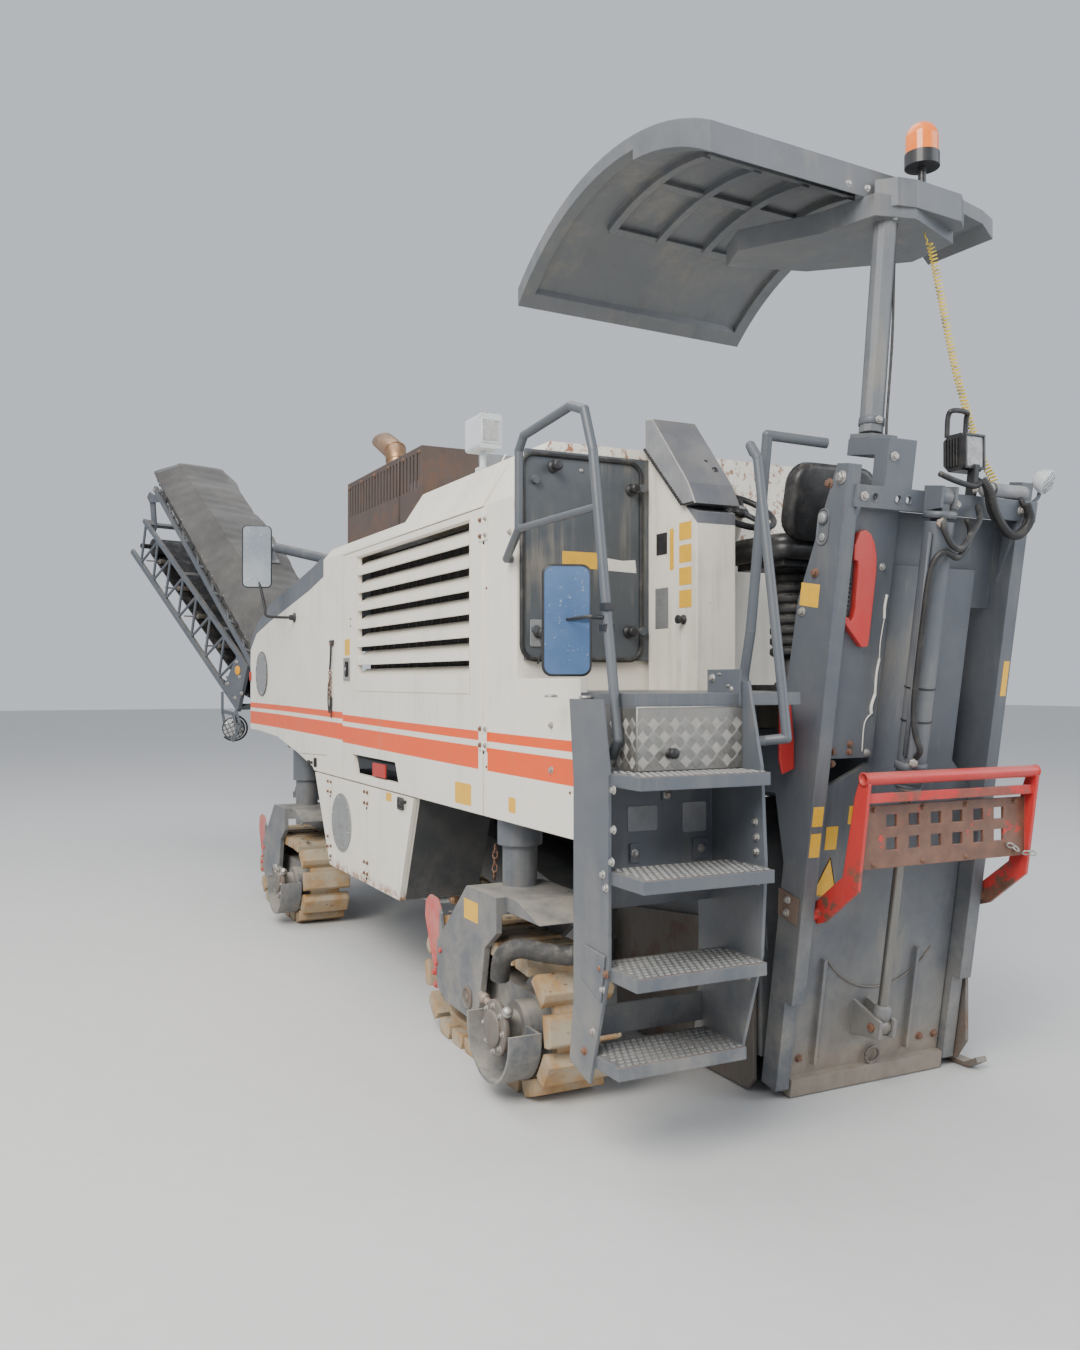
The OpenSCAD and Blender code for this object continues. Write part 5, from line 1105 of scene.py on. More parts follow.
for number, (top, nose) in enumerate(STEPS):
    tread = Piece()
    for row in range(8):
        for column in range(19):
            x = nose + 18 + row * 29
            y = TREAD_Y[0] + 18 + column * 25 + (row % 2) * 12
            if y > TREAD_Y[1] - 14:
                continue
            tread.lathe((x, y, top + 0.2), UP, [(10.5, 0), (8.5, 3.4), (6, 3.4), (5.2, 0.5)], 0, 10)
            # A near-black disc in each dimple: painted shade of its hole
            tread.lathe((x, y, top + 0.2), UP, [(5.4, 0.5), (5.2, 0.8)], 1, 8, False)
    for z in (top - 3, top - 38):
        tread.tube([(nose + 4, TREAD_Y[0] + 2, z), (nose + 4, TREAD_Y[1] - 2, z)], 8, 2, 8)
    tread.make("tread_grip_%d" % (number + 1), [galvanised, shade_black, bolt_rusty])

STRINGER_Y = 1064
stringer = Piece()
stringer.bolts_left(STRINGER_Y, [(-1310, 1276), (-1311, 1151), (-1300, 1048), (-1242, 1000),
    (-1262, 960)], 20, 1)
stringer.bolts_left(STRINGER_Y, [(-1229, 697), (-1262, 685), (-1119, 400)], 20, 2)
stringer.bolts_left(STRINGER_Y, [(-1240, 632), (-1176, 480)], 18, 1)
stringer.prism([(-1262, 742), (-1130, 752), (-1108, 640), (-1236, 590)], "Y", STRINGER_Y + 0.3,
    STRINGER_Y + 7, 0)
stringer.make("ladder_stringer_bolts", [slate, zinc, bolt_rusty], bevel=1, segments=1)

back_panel = Piece()
PANEL_X = -1120
back_panel.rounded((843, 1155), (118, 86, 8), "X", PANEL_X - 3, PANEL_X - 0.2, 1)
back_panel.rounded((632, 1150), (98, 104, 8), "X", PANEL_X - 3, PANEL_X - 0.2, 1)
for y0, y1, z0, z1 in ((571, 641, 1007, 1074), (858, 894, 1007, 1072), (730, 766, 1212, 1250)):
    back_panel.box((PANEL_X - 8, y0, z0), (PANEL_X - 0.3, y1, z1), 0)
    back_panel.bolt((PANEL_X - 8, (y0 + y1) / 2, (z0 + z1) / 2), AFT, 20, 2)
back_panel.make("ladder_back_plates", [slate, dash_grey, zinc], bevel=1, segments=1)

inner_side = Piece()
INNER_Y = 560
inner_side.bolts_left(INNER_Y, [(-1249, 1592), (-1273, 1549), (-1370, 1156), (-1378, 1106),
    (-1376, 1058), (-1384, 962), (-1330, 638)], 20, 1)
inner_side.box((-1300, INNER_Y + 0.3, 1530), (-1110, INNER_Y + 9, 1660), 0)
inner_side.bolts_left(INNER_Y + 9, [(-1140, 1630), (-1140, 1560)], 20, 1)
inner_side.make("inner_stringer_bolts", [slate, zinc])

# Five-bar pattern on the checker box, each block of bars across its neighbours
checker = Piece()
BOX_LOW, BOX_HIGH = (-1300, 560, 1330), (-1100, 975, 1535)
PITCH = 41


def five_bars(piece, spot, u, v, n, flip):
    """Five short raised bars within a square, in the plane of u and v."""
    a, b = (u + v).normalized(), (v - u).normalized()
    if flip:
        a, b = b, a
    for k in range(5):
        middle = spot + b * (k - 2) * PITCH * 0.155
        corners = [middle + a * s * 16 + b * t * 2.0 for s,
            t in ((-1, -1), (1, -1), (1, 1), (-1, 1))]
        top = [middle + a * s * 13 + b * t * 1.1 + n * 2.6 for s,
            t in ((-1, -1), (1, -1), (1, 1), (-1, 1))]
        low = [c + n * 0.1 for c in corners]
        faces = [(3, 2, 1, 0), (4, 5, 6, 7)] + [(i, (i + 1) % 4, 4 + (i + 1) % 4, 4 + i)
            for i in range(4)]
        if (u.cross(v)).dot(n) * (-1 if flip else 1) < 0:
            faces = [tuple(reversed(f)) for f in faces]
        piece.put(low + top, faces, 0)


X_AXIS, Y_AXIS, Z_AXIS = Vector((1, 0, 0)), Vector((0, 1, 0)), Vector((0, 0, 1))
for i in range(10):
    for j in range(4):
        five_bars(checker, Vector((BOX_LOW[0], 583 + i * PITCH, 1356 + j * PITCH)), Y_AXIS, Z_AXIS,
            -X_AXIS, (i + j) % 2)
    for j in range(4):
        five_bars(checker, Vector((-1275 + j * PITCH, 583 + i * PITCH, BOX_HIGH[2])), Y_AXIS,
            X_AXIS, Z_AXIS, (i + j) % 2)
for i in range(4):
    for j in range(4):
        five_bars(checker, Vector((-1275 + i * PITCH, BOX_HIGH[1], 1356 + j * PITCH)), X_AXIS,
            Z_AXIS, Y_AXIS, (i + j) % 2)
checker.tube([(-1300, 562, 1535), (-1300, 973, 1535), (-1300, 973, 1332)], 5, 0, 8)
checker.lathe((-1300, 850, 1386), AFT, [(17, 0), (17, 6), (10, 8), (10, 20), (18, 22), (18, 34),
    (12, 38)], 1, 18)
checker.make("checker_bars", [bright_bars, black])

# Rear tower: its left face, cover plate, beam, lamp and hooks
tower = Piece(REAR)
FLANK = 110.3
tower.bolts_left(FLANK, [(-42, 2350)], 34, 1)
tower.bolts_left(FLANK, [(20, 2328), (48, 2004)], 26, 2)
tower.bolts_left(FLANK, [(99, 1855)], 24, 1)
recess = [(30 + x, 2172 + s) for x, s in round_box(58, 128, 28, 8)]
tower.prism(recess, "Y", FLANK, FLANK + 2, 0)
tower.tube([(x, FLANK + 2, s) for x, s in closed(recess)], 6, 0, 8)
tower.lathe((30, FLANK + 2, 2204), LEFT, [(24, 0), (24, 7), (20, 10)], 0, 24)
tower.lathe((30, FLANK + 12, 2204), LEFT, [(19, -3), (19, 2), (14, 5), (4, 6)], 3, 24)
tower.lathe((30, FLANK + 2, 2134), LEFT, [(15, 0), (15, 2), (9, 3)], 3, 18)
tower.plate((14, 1878), (118, 1963), "Y", FLANK, FLANK + 0.8, 5)
tower.prism([(-58, 690), (56, 700), (66, 800), (-52, 792)], "Y", FLANK, FLANK + 7, 4)
tower.bolts_left(FLANK + 7, [(4, 722), (6, 772)], 22, 1)
tower.make("tower_left_face", [slate, zinc, bolt_rusty, galvanised, guard_plate, yellow],
    bevel=0.8, segments=1)

tower_cover = Piece(REAR)
COVER_X = -28.3
tower_cover.bolts_aft(COVER_X, [(-136, 2042), (-160, 1340), (30, 1260)], 20, 1)
grille = [(26 + y, 1934 + s) for y, s in round_box(40, 134, 20, 8)]
# Near-black behind the grille's slats: painted shade
tower_cover.prism(grille, "X", COVER_X - 1, COVER_X, 4)
for k in range(7):
    tower_cover.box((COVER_X - 6, 9, 1882 + k * 16), (COVER_X - 0.5, 43, 1889 + k * 16), 0)
tower_cover.bolts_aft(COVER_X, [(5, 1347), (-74, 1345), (3, 1301), (-73, 1375)], 20, 2)
for d, points in ((11, [(-172, 1940), (-168, 1895), (-172, 1850)]),
        (4, [(-172, 1850), (-166, 1760), (-170, 1700)]),
        (10, [(-170, 1700), (-164, 1640), (-168, 1565)]),
        (13, [(-168, 1565), (-156, 1520), (-160, 1490)]),
        (5, [(-160, 1490), (-132, 1452), (-135, 1345)])):
    tower_cover.hose([(COVER_X - 2, y, s) for y, s in points], 8, d, 3, 6)
tower_cover.make("tower_cover_bolts", [slate, zinc, bolt_rusty, white, shade_black])
front_labels = Piece(REAR)
LOW_X = -70.3
for low, high in (((56, 957), (104, 1048)), ((56, 1075), (104, 1150)),
        ((-782, 1560), (-812, 1700))):
    front_labels.plate(low, high, "X", LOW_X - 0.8, LOW_X)
front_labels.make("tower_post_labels", yellow)

beam = Piece(REAR)
BEAM_X = -78.3
for y in (-20, -130, -180):
    beam.tube([(BEAM_X, *p) for p in closed(circle((y, 2290), (16, 16), 20))], 5, 0, 6)
beam.bolts_aft(BEAM_X, [(30, 2290), (-420, 2290), (-600, 2300), (-760, 2290), (-90, 2440)], 24, 1)
beam.hose([(-100, -297, 2395), (-100, -380, 2375), (-100, -474, 2363), (-100, -515, 2380),
    (-98, -545, 2348), (-96, -583, 2271), (-96, -662, 2202), (-96, -730, 2199), (-94, -778, 2256),
    (-88, -757, 2317), (-60, -750, 2345)], 8, 22, 2, 10)
beam.make("beam_bolts", [slate, zinc, rubber])
loops = Piece(REAR)
loops.ribbed(smooth_line([(-96, -515, 2393), (-118, -541, 2348), (-118, -583, 2271),
    (-118, -662, 2202), (-116, -730, 2199), (-112, -778, 2256), (-104, -757, 2317)], 8), 34, 8)
loops.make("corrugated_loop", rubber)
holder = Piece(REAR)
holder.lathe((-60, -570, 2359), (0, -1, 0), [(24, -3), (28, 0), (28, 40), (26.5, 41), (26.5, 176),
    (28, 177), (28, 214), (24, 217)], 0, 28)
holder.lathe((-60, -600, 2359), (0, -1, 0), [(29, 0), (30, 1), (30, 11), (29, 12)], 1, 24)
holder.make("tube_holder", [dash_grey, rubber])
round_lamp = Piece(REAR)
aim = Vector((-0.86, -0.35, -0.3)).normalized()
spot = Vector((-70, -885, 2412))
round_lamp.lathe(spot - aim * 46, aim, [(20, 0), (34, 10), (46, 34), (48, 46), (50, 48), (50, 56),
    (45, 58)], 0, 30)
round_lamp.lathe(spot + aim * 9, aim, [(45, 0), (42, 6), (22, 10), (8, 11)], 1, 30)
for k in range(4):
    drop = aim.orthogonal().normalized() * (k * 20 - 30)
    reach = aim.cross(aim.orthogonal().normalized()) * math.sqrt(46 ** 2 - (k * 20 - 30) ** 2)
    round_lamp.tube([spot + aim * 16 + drop - reach, spot + aim * 23 + drop,
        spot + aim * 16 + drop + reach], 4, 0, 6)
round_lamp.hose([(-44, -842, 2320), (-46, -858, 2330), (-48, -880, 2350),
    (-50, -884, 2380)], 5, 16, 2, 10)
round_lamp.make("round_rear_lamp", [lamp_white, lens, slate])

hooks = Piece(REAR)
HOOK = [(-14, 2172), (-40, 2158), (-62, 2125), (-78, 2078), (-84, 2020), (-85, 1774), (-82, 1748),
    (-54, 1744), (41, 1834), (45, 1858), (24, 1852), (10, 1836), (2, 1850), (-4, 1887), (3, 2040),
    (8, 2058), (26, 2062), (30, 2111), (10, 2160)]
hooks.prism(HOOK, "X", -58, -29, 0)
hooks.at = WORLD
hooks.prism([(113, 1290), (168, 1272), (182, 1330), (178, 1560), (140, 1568), (126, 1520),
    (113, 1400)], "X", -1020, -1008, 0)
hooks.make("red_hook_plates", red, bevel=2.5, replaces=["red_hooks"])

# Scraper cylinder: bands, fittings and hoses; the fittings, labels and ribs of its plate
CYL = (-120, -300)
barrel = Piece(REAR)
for s, tall in ((2232, 26), (1290, 30), (1240, 22)):
    barrel.lathe((*CYL, s), UP, [(54, 0), (60, 3), (60, tall - 3), (54, tall)], 0, 32)
barrel.lathe((*CYL, 1225), UP, [(40, -14), (46, -12), (48, 0)], 1, 32)
for s in (2215, 1330):
    barrel.lathe((CYL[0] - 40, CYL[1] + 40, s), (-1, 0.6, 0),
        [(13, 0), (13, 16), (17, 17), (17, 32), (11, 34)], 1, 6, False)
barrel.tube([(CYL[0] - 24, CYL[1] + 62, s) for s in (2180, 1900, 1600, 1350)], 14, 0, 10)
barrel.make("barrel_bands_and_fittings", [slate, zinc])
hoses = Piece(REAR)
hoses.hose([(-176, -258, 2235), (-200, -250, 2190), (-214, -280, 2140), (-212, -330, 2130),
    (-190, -400, 2190), (-150, -470, 2245), (-100, -506, 2290)], 8, 24, 0, 12)
hoses.hose([(-178, -262, 1350), (-206, -250, 1385), (-196, -226, 1450), (-178, -222, 1560),
    (-176, -222, 1800), (-178, -228, 2040), (-196, -262, 2112), (-200, -330, 2096),
    (-176, -400, 2150), (-130, -450, 2200), (-92, -470, 2235)], 8, 24, 0, 12)
for s in (1604, 1479):
    hoses.tube([(*p, s) for p in closed(circle(CYL, (55, 55), 32))], 6, 0, 8)
hoses.make("scraper_cylinder_hoses", rubber)

rod_end = Piece(REAR)
rod_end.lathe((*CYL, 300), UP, [(28, -6), (34, 0), (34, 40), (24, 52)], 0, 24)
rod_end.bolt((-120, -262, 265), LEFT, 34, 1)
rod_end.plate((-470, 1600), (-410, 1830), "X", -14, -0.3, 0)
# A near-black strip down the rib: painted shade of a slot
rod_end.plate((-456, 1620), (-424, 1810), "X", -14.8, -14, 2)
rod_end.prism([(-63, 930), (12, 782), (-119, 756)], "X", -1.1, -0.3, 4)
rod_end.tube([(-1.4, -63, 926), (-1.4, 8, 786), (-1.4, -114, 760), (-1.4, -63, 926)], 4, 2, 6)
rod_end.plate((-86, 957), (-29, 1048), "X", -1.1, -0.3, 4)
rod_end.plate((-181, 1053), (-131, 1125), "X", -1.1, -0.3, 4)
for y in (-720, -640, -90, -10):
    rod_end.bolt((-0.3, y, 120), AFT, 24, 1)
arc = [(-3, -375 + 330 * math.cos(math.radians(a)), 700 - 330 * math.sin(math.radians(a)))
    for a in range(35, 146, 5)]
rod_end.tube(arc, 7, 3, 6)
rod_end.tube([(-18, *p) for p in closed(circle((-375, 86), (34, 34), 20))], 13, 3, 8)
rod_end.make("scraper_fittings", [slate, bolt_rusty, shade_black, worn_steel, yellow],
    body="scraper")

# Red guard: pipe ends, bolts and a chain
GUARD_FACE = -1252.5
guard = Piece()
for y, out in ((18.5, 1), (-853.5, -1)):
    guard.lathe((-1290, y, 1268), (0, out, 0), [(25, 0), (25, 5), (19, 5.5), (19, 2)], 0, 24)
for y in (-780, -520, -300, -60):
    guard.bolt((GUARD_FACE, y, 1150), AFT, 16, 2)
    guard.bolt((GUARD_FACE, y, 950), AFT, 16, 2)


def chain(piece, top, low, pitch, d, tone):
    """Links in turn flat and edge on, along a line."""
    line = Vector(low) - Vector(top)
    along = line.normalized()
    side = along.orthogonal().normalized()
    other = along.cross(side)
    for k in range(int(line.length / pitch)):
        centre = Vector(top) + along * (k + 0.5) * pitch
        across = side if k % 2 else other
        link = [centre + across * 11 * math.cos(a) + along * (pitch * 0.62) * math.sin(a)
            for a in [math.tau * j / 14 for j in range(15)]]
        piece.tube(link, d, tone, 6)


chain(guard, (-1262, -735, 985), (-1280, -800, 950), 26, 7, 1)
chain(guard, (-1280, -800, 950), (-1300, -868, 944), 26, 7, 1)
guard.make("red_guard_hinges_and_chain", [red, zinc, bolt_rusty], body="guard")


# Tarpaulin over the rear conveyor, on its hoops; the ears of the lifting cylinder come through it
COVER_FROM, COVER_BREAK, COVER_TO = 400, 2500, 3680
HOOPS = (430, 1010, 1600, 2180, 2740, 3240, 3650)
COVER_EDGE = 450


def cover_section(s):
    """Height of the top and half its width at a place along the conveyor."""
    t = max(0.0, (s - COVER_BREAK) / (COVER_TO - COVER_BREAK))
    return 255 - 105 * t, 270 - 20 * t


def cover_line(s, inset=0.0):
    top, half = cover_section(s)
    return [(-COVER_EDGE + inset, -10), (-COVER_EDGE + 3 + inset, 14),
        (-half - 22 + inset, top - 34), (-half + 14, top - 8 - inset), (-half * 0.45, top - inset),
        (half * 0.45, top - inset), (half - 14, top - 8 - inset), (half + 22 - inset, top - 34),
        (COVER_EDGE - 3 - inset, 14), (COVER_EDGE - inset, -10)]


hoops = Piece(SECTION)
for s in HOOPS:
    hoops.hose([(s, y, n + 4) for y, n in cover_line(s, 22)], 4, 22, 0, 10)
for y in (-COVER_EDGE + 26, COVER_EDGE - 26):
    hoops.tube([(COVER_FROM + 20, y, 4), (COVER_TO - 20, y, 4)], 16, 0, 8)
hoops.make("cover_hoops", rail_paint, body="conveyor_rear")

ACROSS = 6
rings = []
stations = [COVER_FROM + (COVER_TO - COVER_FROM) * i / 110 for i in range(111)]
for s in stations:
    gap = next((h for h in zip(HOOPS, HOOPS[1:]) if h[0] <= s <= h[1]), None)
    sag = math.sin(math.pi * (s - gap[0]) / (gap[1] - gap[0])) ** 1.4 if gap else 0.0
    line = smooth_line([(y, n, 0) for y, n in cover_line(s)], ACROSS)
    ring = []
    for k, p in enumerate(line):
        t = k / (len(line) - 1)
        crown = math.sin(math.pi * t) ** 0.6
        slack = sag * (14 * crown + 5)
        crease = (5 * math.sin(s / 41 + 9 * t) * math.sin(s / 97 + 5 * t + 1.3)
            + 3 * math.sin(s / 19 - 14 * t))
        flap = (8 * math.sin(s / 63) + 5 * math.sin(s / 23 + 2)) * (abs(2 * t - 1) ** 12)
        inward = 1 - (slack * 0.7 + 2) / 460
        ring.append((s, p.x * inward + flap * (1 if p.x > 0 else -1) * 0.5,
            p.y - slack + crease * (0.3 + 0.7 * sag) - abs(flap) * 0.4))
    rings.append(ring)
wide = len(rings[0])
tarp_sheet = Piece(SECTION)
tarp_sheet.put([p for ring in rings for p in ring],
    [(i * wide + k, (i + 1) * wide + k, (i + 1) * wide + k + 1, i * wide + k + 1)
    for i in range(len(rings) - 1) for k in range(wide - 1)], 0, True)
tarpaulin = tarp_sheet.make("conveyor_tarpaulin", tarp,
    replaces=["conveyor_rear_cover"], body="conveyor_rear")
thick = tarpaulin.modifiers.new("cloth", "SOLIDIFY")
thick.thickness = 0.003
thick.offset = 0
hem = Piece(SECTION)
for side in (0, wide - 1):
    line = [Vector(ring[side]) for ring in rings]
    hem.tube(line, 11, 0, 8)
    for i in range(4, len(line) - 2, 9):
        p = line[i]
        out = 1 if p.y > 0 else -1
        hem.hose([(p.x, p.y + out * 4, p.z + 12), (p.x + 8, p.y - out * 4, p.z - 12),
            (p.x + 14, out * 425, -20)], 5, 5, 1, 6)
hem.make("tarpaulin_hem_and_ties", [hose_dusty, white], body="conveyor_rear")
ears = Piece(SECTION)
for y in (-42, 42):
    ears.prism([(2080, 254), (2320, 254), (2240, 376), (2226, 388), (2174, 388), (2160, 376)],
        "Y", y - 8, y + 8, 0)
    ears.lathe((2200, y + (8 if y > 0 else -8), 350), (0, 1 if y > 0 else -1, 0),
        [(34, 0), (34, 6), (24, 8), (24, 16), (18, 18)], 0, 24)
ears.plate((2060, -130), (2340, 130), "Z", 254, 264, 0)
ears.bolts([(s, y, 264) for s in (2085, 2315) for y in (-105, 105)], UP, 22, 1)
ears.make("luff_ears", [slate, zinc], bevel=1.5, replaces=["conveyor_rear_cover"],
    body="conveyor_rear")

# Idlers, hoses, lamps, guards and bolts of the conveyor
RAIL_Y = 418.3
LENS_REACH = 96


def roller(piece, s, n, stub):
    """A belt roller 500 long, with a stub of axle at each end."""
    profile = [(8, -stub), (8, 0), (24, 0.5), (25, 6), (25, 494), (24, 500),
        (8, 500.5), (8, 500 + stub)]
    piece.lathe((s, -250, n), LEFT, profile, 0, 18)


idlers = Piece(SECTION)
for k in range(7):
    s = 330 + k * 480
    roller(idlers, s, -77, 130)
    for y in (-379, 365):
        idlers.box((s - 20, y, -108), (s + 20, y + 14, -60), 1)
idlers.make("belt_idlers", [worn_steel, slate], bevel=1, segments=1,
    body="conveyor_rear")
lines = Piece(SECTION)
for y, n, d, start in ((430, -24, 19, 240), (434, -47, 19, 300), (430, -72, 14, 380)):
    lines.hose([(start - 90, y - 30, n - 120), (start, y, n)]
        + [(start + 260 * k, y + 2 * math.sin(k * 2.1), n + 3 * math.sin(k * 1.7 + y))
        for k in range(1, 13)], 5, d, 0, 10)
for k in range(9):
    s = 420 + k * 360
    lines.plate((416, -90), (446, -8), "X", s, s + 22, 1)
lines.make("conveyor_hoses", [hose_dusty, rubber], bevel=1, segments=1,
    body="conveyor_rear")
rail_bolts = Piece(SECTION)
for y, out in ((RAIL_Y, 1), (-RAIL_Y, -1)):
    rail_bolts.bolts([(120, y, -180), (40, y, -100), (200, y, -230), (3560, y, -40),
        (3610, y, -170)], (0, out, 0), 26, 0)
    rail_bolts.lathe((0, y + out * 50, 0), (0, out, 0), [(38, 0), (38, 6), (28, 9)], 0, 24)
rail_bolts.make("conveyor_rail_bolts", [zinc], body="conveyor_rear")

head = Piece(FOLDED)
for y, out in ((RAIL_Y, 1), (-RAIL_Y, -1)):
    head.bolts([(2440, y, 250), (2440, y, 500), (2620, y, 520), (2560, y, 330), (2680, y, 420)],
        (0, out, 0), 26, 0)
    head.lathe((2500, y, 300), (0, out, 0), [(42, 0), (42, 5), (38, 8)], 1, 28)
head.lathe((2796, 0, 670), (1, 0, 0), [(100, -14), (103, -4), (103, 4), (96, 6)], 2, 36)
head.lathe((2797, 0, 670), (1, 0, 0), [(92, 2), (88, 12), (60, 20), (20, 24)], 3, 36)
for k in (-60, -20, 20, 60):
    reach = math.sqrt(LENS_REACH ** 2 - k ** 2)
    head.tube([(2822, -reach, 670 + k), (2830, 0, 670 + k), (2822, reach, 670 + k)], 5, 2, 6)
    head.tube([(2823, k, 670 - reach), (2831, k, 670), (2823, k, 670 + reach)], 5, 2, 6)
head.hose([(2740, -130, 590), (2740, -136, 700), (2745, -90, 785), (2745, 90, 785),
    (2740, 136, 700), (2740, 130, 590)], 8, 22, 2, 10)
head.hose([(2725, 0, 640), (2690, 20, 620), (2600, 120, 590), (2400, 250, 612), (2000, 380, 610),
    (1000, 400, 608), (300, 400, 606)], 8, 12, 2, 8)
head.make("conveyor_head_lamp", [zinc, orange_lens, black, lens],
    body="conveyor_front")
side_lamp = Piece(FOLDED)
facing = (FOLDED.inverted().to_3x3() @ Vector((-0.93, 0.3, -0.2))).normalized()
lamp_spot = Vector((2750, 405, 765))
side_lamp.lathe(lamp_spot - facing * 60, facing, [(40, 0), (70, 14), (92, 44), (98, 60), (102, 64),
    (102, 76), (94, 78)], 0, 36)
side_lamp.lathe(lamp_spot + facing * 16, facing, [(93, 0), (90, 8), (60, 15), (20, 18)], 1, 36)
across = facing.orthogonal().normalized()
upward = facing.cross(across)
for k in (-58, -19, 19, 58):
    reach = math.sqrt(LENS_REACH ** 2 - k ** 2)
    for a, b in ((across, upward), (upward, across)):
        side_lamp.tube([lamp_spot + facing * 24 + a * k + b * t * reach + facing * 12 * (1 - t * t)
            for t in (-1, -0.5, 0, 0.5, 1)], 5, 0, 6)
side_lamp.hose([(2700, 418, 600), (2730, 424, 660), (2735, 415, 720)], 5, 24, 2, 10)
side_lamp.hose([lamp_spot + across * 118 * math.cos(a) + upward * 118 * math.sin(a)
    for a in [math.radians(20 + 20 * k) for k in range(12)]], 4, 18, 0, 8)
for a, b in (((2430, 600), (2540, 740)), ((2540, 740), (2700, 850)), ((2700, 850), (2850, 830)),
        ((2850, 830), (2850, 640)), ((2850, 640), (2710, 590)), ((2540, 740), (2700, 640)),
        ((2700, 640), (2850, 730))):
    run = Vector((b[0] - a[0], 0, b[1] - a[1]))
    lift = Vector((-run.z, 0, run.x)).normalized() * 17
    start, stop = Vector((a[0], 0, a[1])), Vector((b[0], 0, b[1]))
    corners = [start - lift, stop - lift, stop + lift, start + lift]
    side_lamp.prism([(c.x, c.z) for c in corners], "Y", 428, 436, 2)
side_lamp.make("left_head_lamp_and_guard", [black, lens, slate],
    body="conveyor_front")
wipers = Piece(FOLDED)
for k in range(5):
    roller(wipers, 420 + k * 480, 500, 140)
wipers.box((2420, -262, 330), (2436, 262, 382), 1)
wipers.make("front_idlers_and_scraper", [worn_steel, rubber], bevel=1, segments=1,
    body="conveyor_front")

# Legs: bolts, hub caps and drive motors, alike on the four
LEGS = (("rear_left", 0, 1, "chassis"), ("rear_right", 1160, -1, "chassis"),
    ("front_left", 3530, 1, "front_left"), ("front_right", 3530, -1, "front_right"))
PLATE = 182.3
MOTOR = (-390, 275)
MOTOR_FACE = 270
SHOE_TOP = 549.6
for name, x0, side, body in LEGS:
    at = WORLD @ move(x0, side * LEG_Y, 0) @ Matrix.Scale(side, 4, LEFT)
    fittings = Piece(at)
    fittings.bolts_left(PLATE - 6, [(379, 403), (428, 335), (462, 287), (439, 235)], 26, 0)
    fittings.bolts_left(PLATE, [(-111, 234), (-77, 160)], 24, 1)
    fittings.lathe((61, PLATE, 268), LEFT, [(50, 0), (50, 6), (40, 9), (38, 3),
        (14, 3), (12, 9)], 2, 32)
    fittings.make("leg_bolts_" + name, [red, zinc, worn_steel], bevel=0.8,
        segments=1, body=body)
    motor = Piece(at)
    motor.lathe((MOTOR[0], MOTOR_FACE - 30, MOTOR[1]), LEFT, [(104, 0), (108, 3), (108, 20),
        (100, 24)], 0, 36)
    motor.lathe((MOTOR[0], MOTOR_FACE - 6, MOTOR[1]), LEFT,
        [(70, 0), (70, 10), (52, 15), (30, 17)], 0, 32)
    motor.bolts([(x, MOTOR_FACE - 6, z) for x, z in circle(MOTOR, (88, 88), 8)], LEFT, 17, 1)
    for x, z in ((-228, 341), (-486, 337)):
        motor.lathe((MOTOR[0] + (x - MOTOR[0]) * 0.55, MOTOR_FACE - 40,
            MOTOR[1] + (z - MOTOR[1]) * 0.9), (x - MOTOR[0], 40, z - MOTOR[1]),
            [(16, 0), (16, 40), (22, 41), (22, 62), (15, 64), (15, 84)], 1, 12)
    motor.make("drive_motor_cap_" + name, [worn_steel, zinc], bevel=0.8,
        segments=1, body=body)
    shoes = Piece(at)
    for k in range(9):
        x = -480 + k * 120
        for y in (-90, 90):
            shoes.lathe((x, y, SHOE_TOP), UP, [(15, 0), (15, 4), (9, 5)], 0, 6, False)
    shoes.make("shoe_bolts_" + name, [worn_steel], body=body)

left_leg = Piece()
left_leg.plate((-49, 604), (100, 689), "Y", LEG_Y + PLATE, LEG_Y + PLATE + 0.8, 0)
chain(left_leg, (224, 790, 735), (254, 770, 900), 30, 8, 1)
left_leg.make("leg_label_and_chain", [yellow, bolt_rusty])
drain = Piece()
drain.hose([(1600, 640, 476), (1590, 640, 436), (1500, 632, 420), (1350, 612, 428),
    (1200, 600, 455)], 8, 34, 0, 14)
drain.lathe((1200, 600, 455), (-1, 0, 0.12), [(19, -6), (21, 0), (21, 26), (15, 28), (15, 50),
    (24, 51), (24, 66), (12, 68)], 1, 6, False)
drain.make("drain_hose", [galvanised, bronze])

# Driver's seat: cushion and back with piping, on a bellows base
seat_soft = Piece()


def pad(piece, at, w, h, r, layers):
    """A soft pad: round rectangles of changing size, (inset, height), joined and closed."""
    piece.at = at
    outlines = [
        [(x, y, z) for x, y in round_box(w - 2 * inset, h - 2 * inset, max(r - inset * 0.5, 12), 6)]
        for inset, z in layers]
    n = len(outlines[0])
    verts = [p for outline in outlines for p in outline]
    faces = strips(len(layers), n)
    verts += [(0, 0, layers[0][1]), (0, 0, layers[-1][1])]
    low, high = len(verts) - 2, len(verts) - 1
    faces += [((k + 1) % n, k, low) for k in range(n)]
    faces += [((len(layers) - 1) * n + k, (len(layers) - 1) * n + (k + 1) % n, high)
        for k in range(n)]
    piece.put(verts, faces, 0, True)


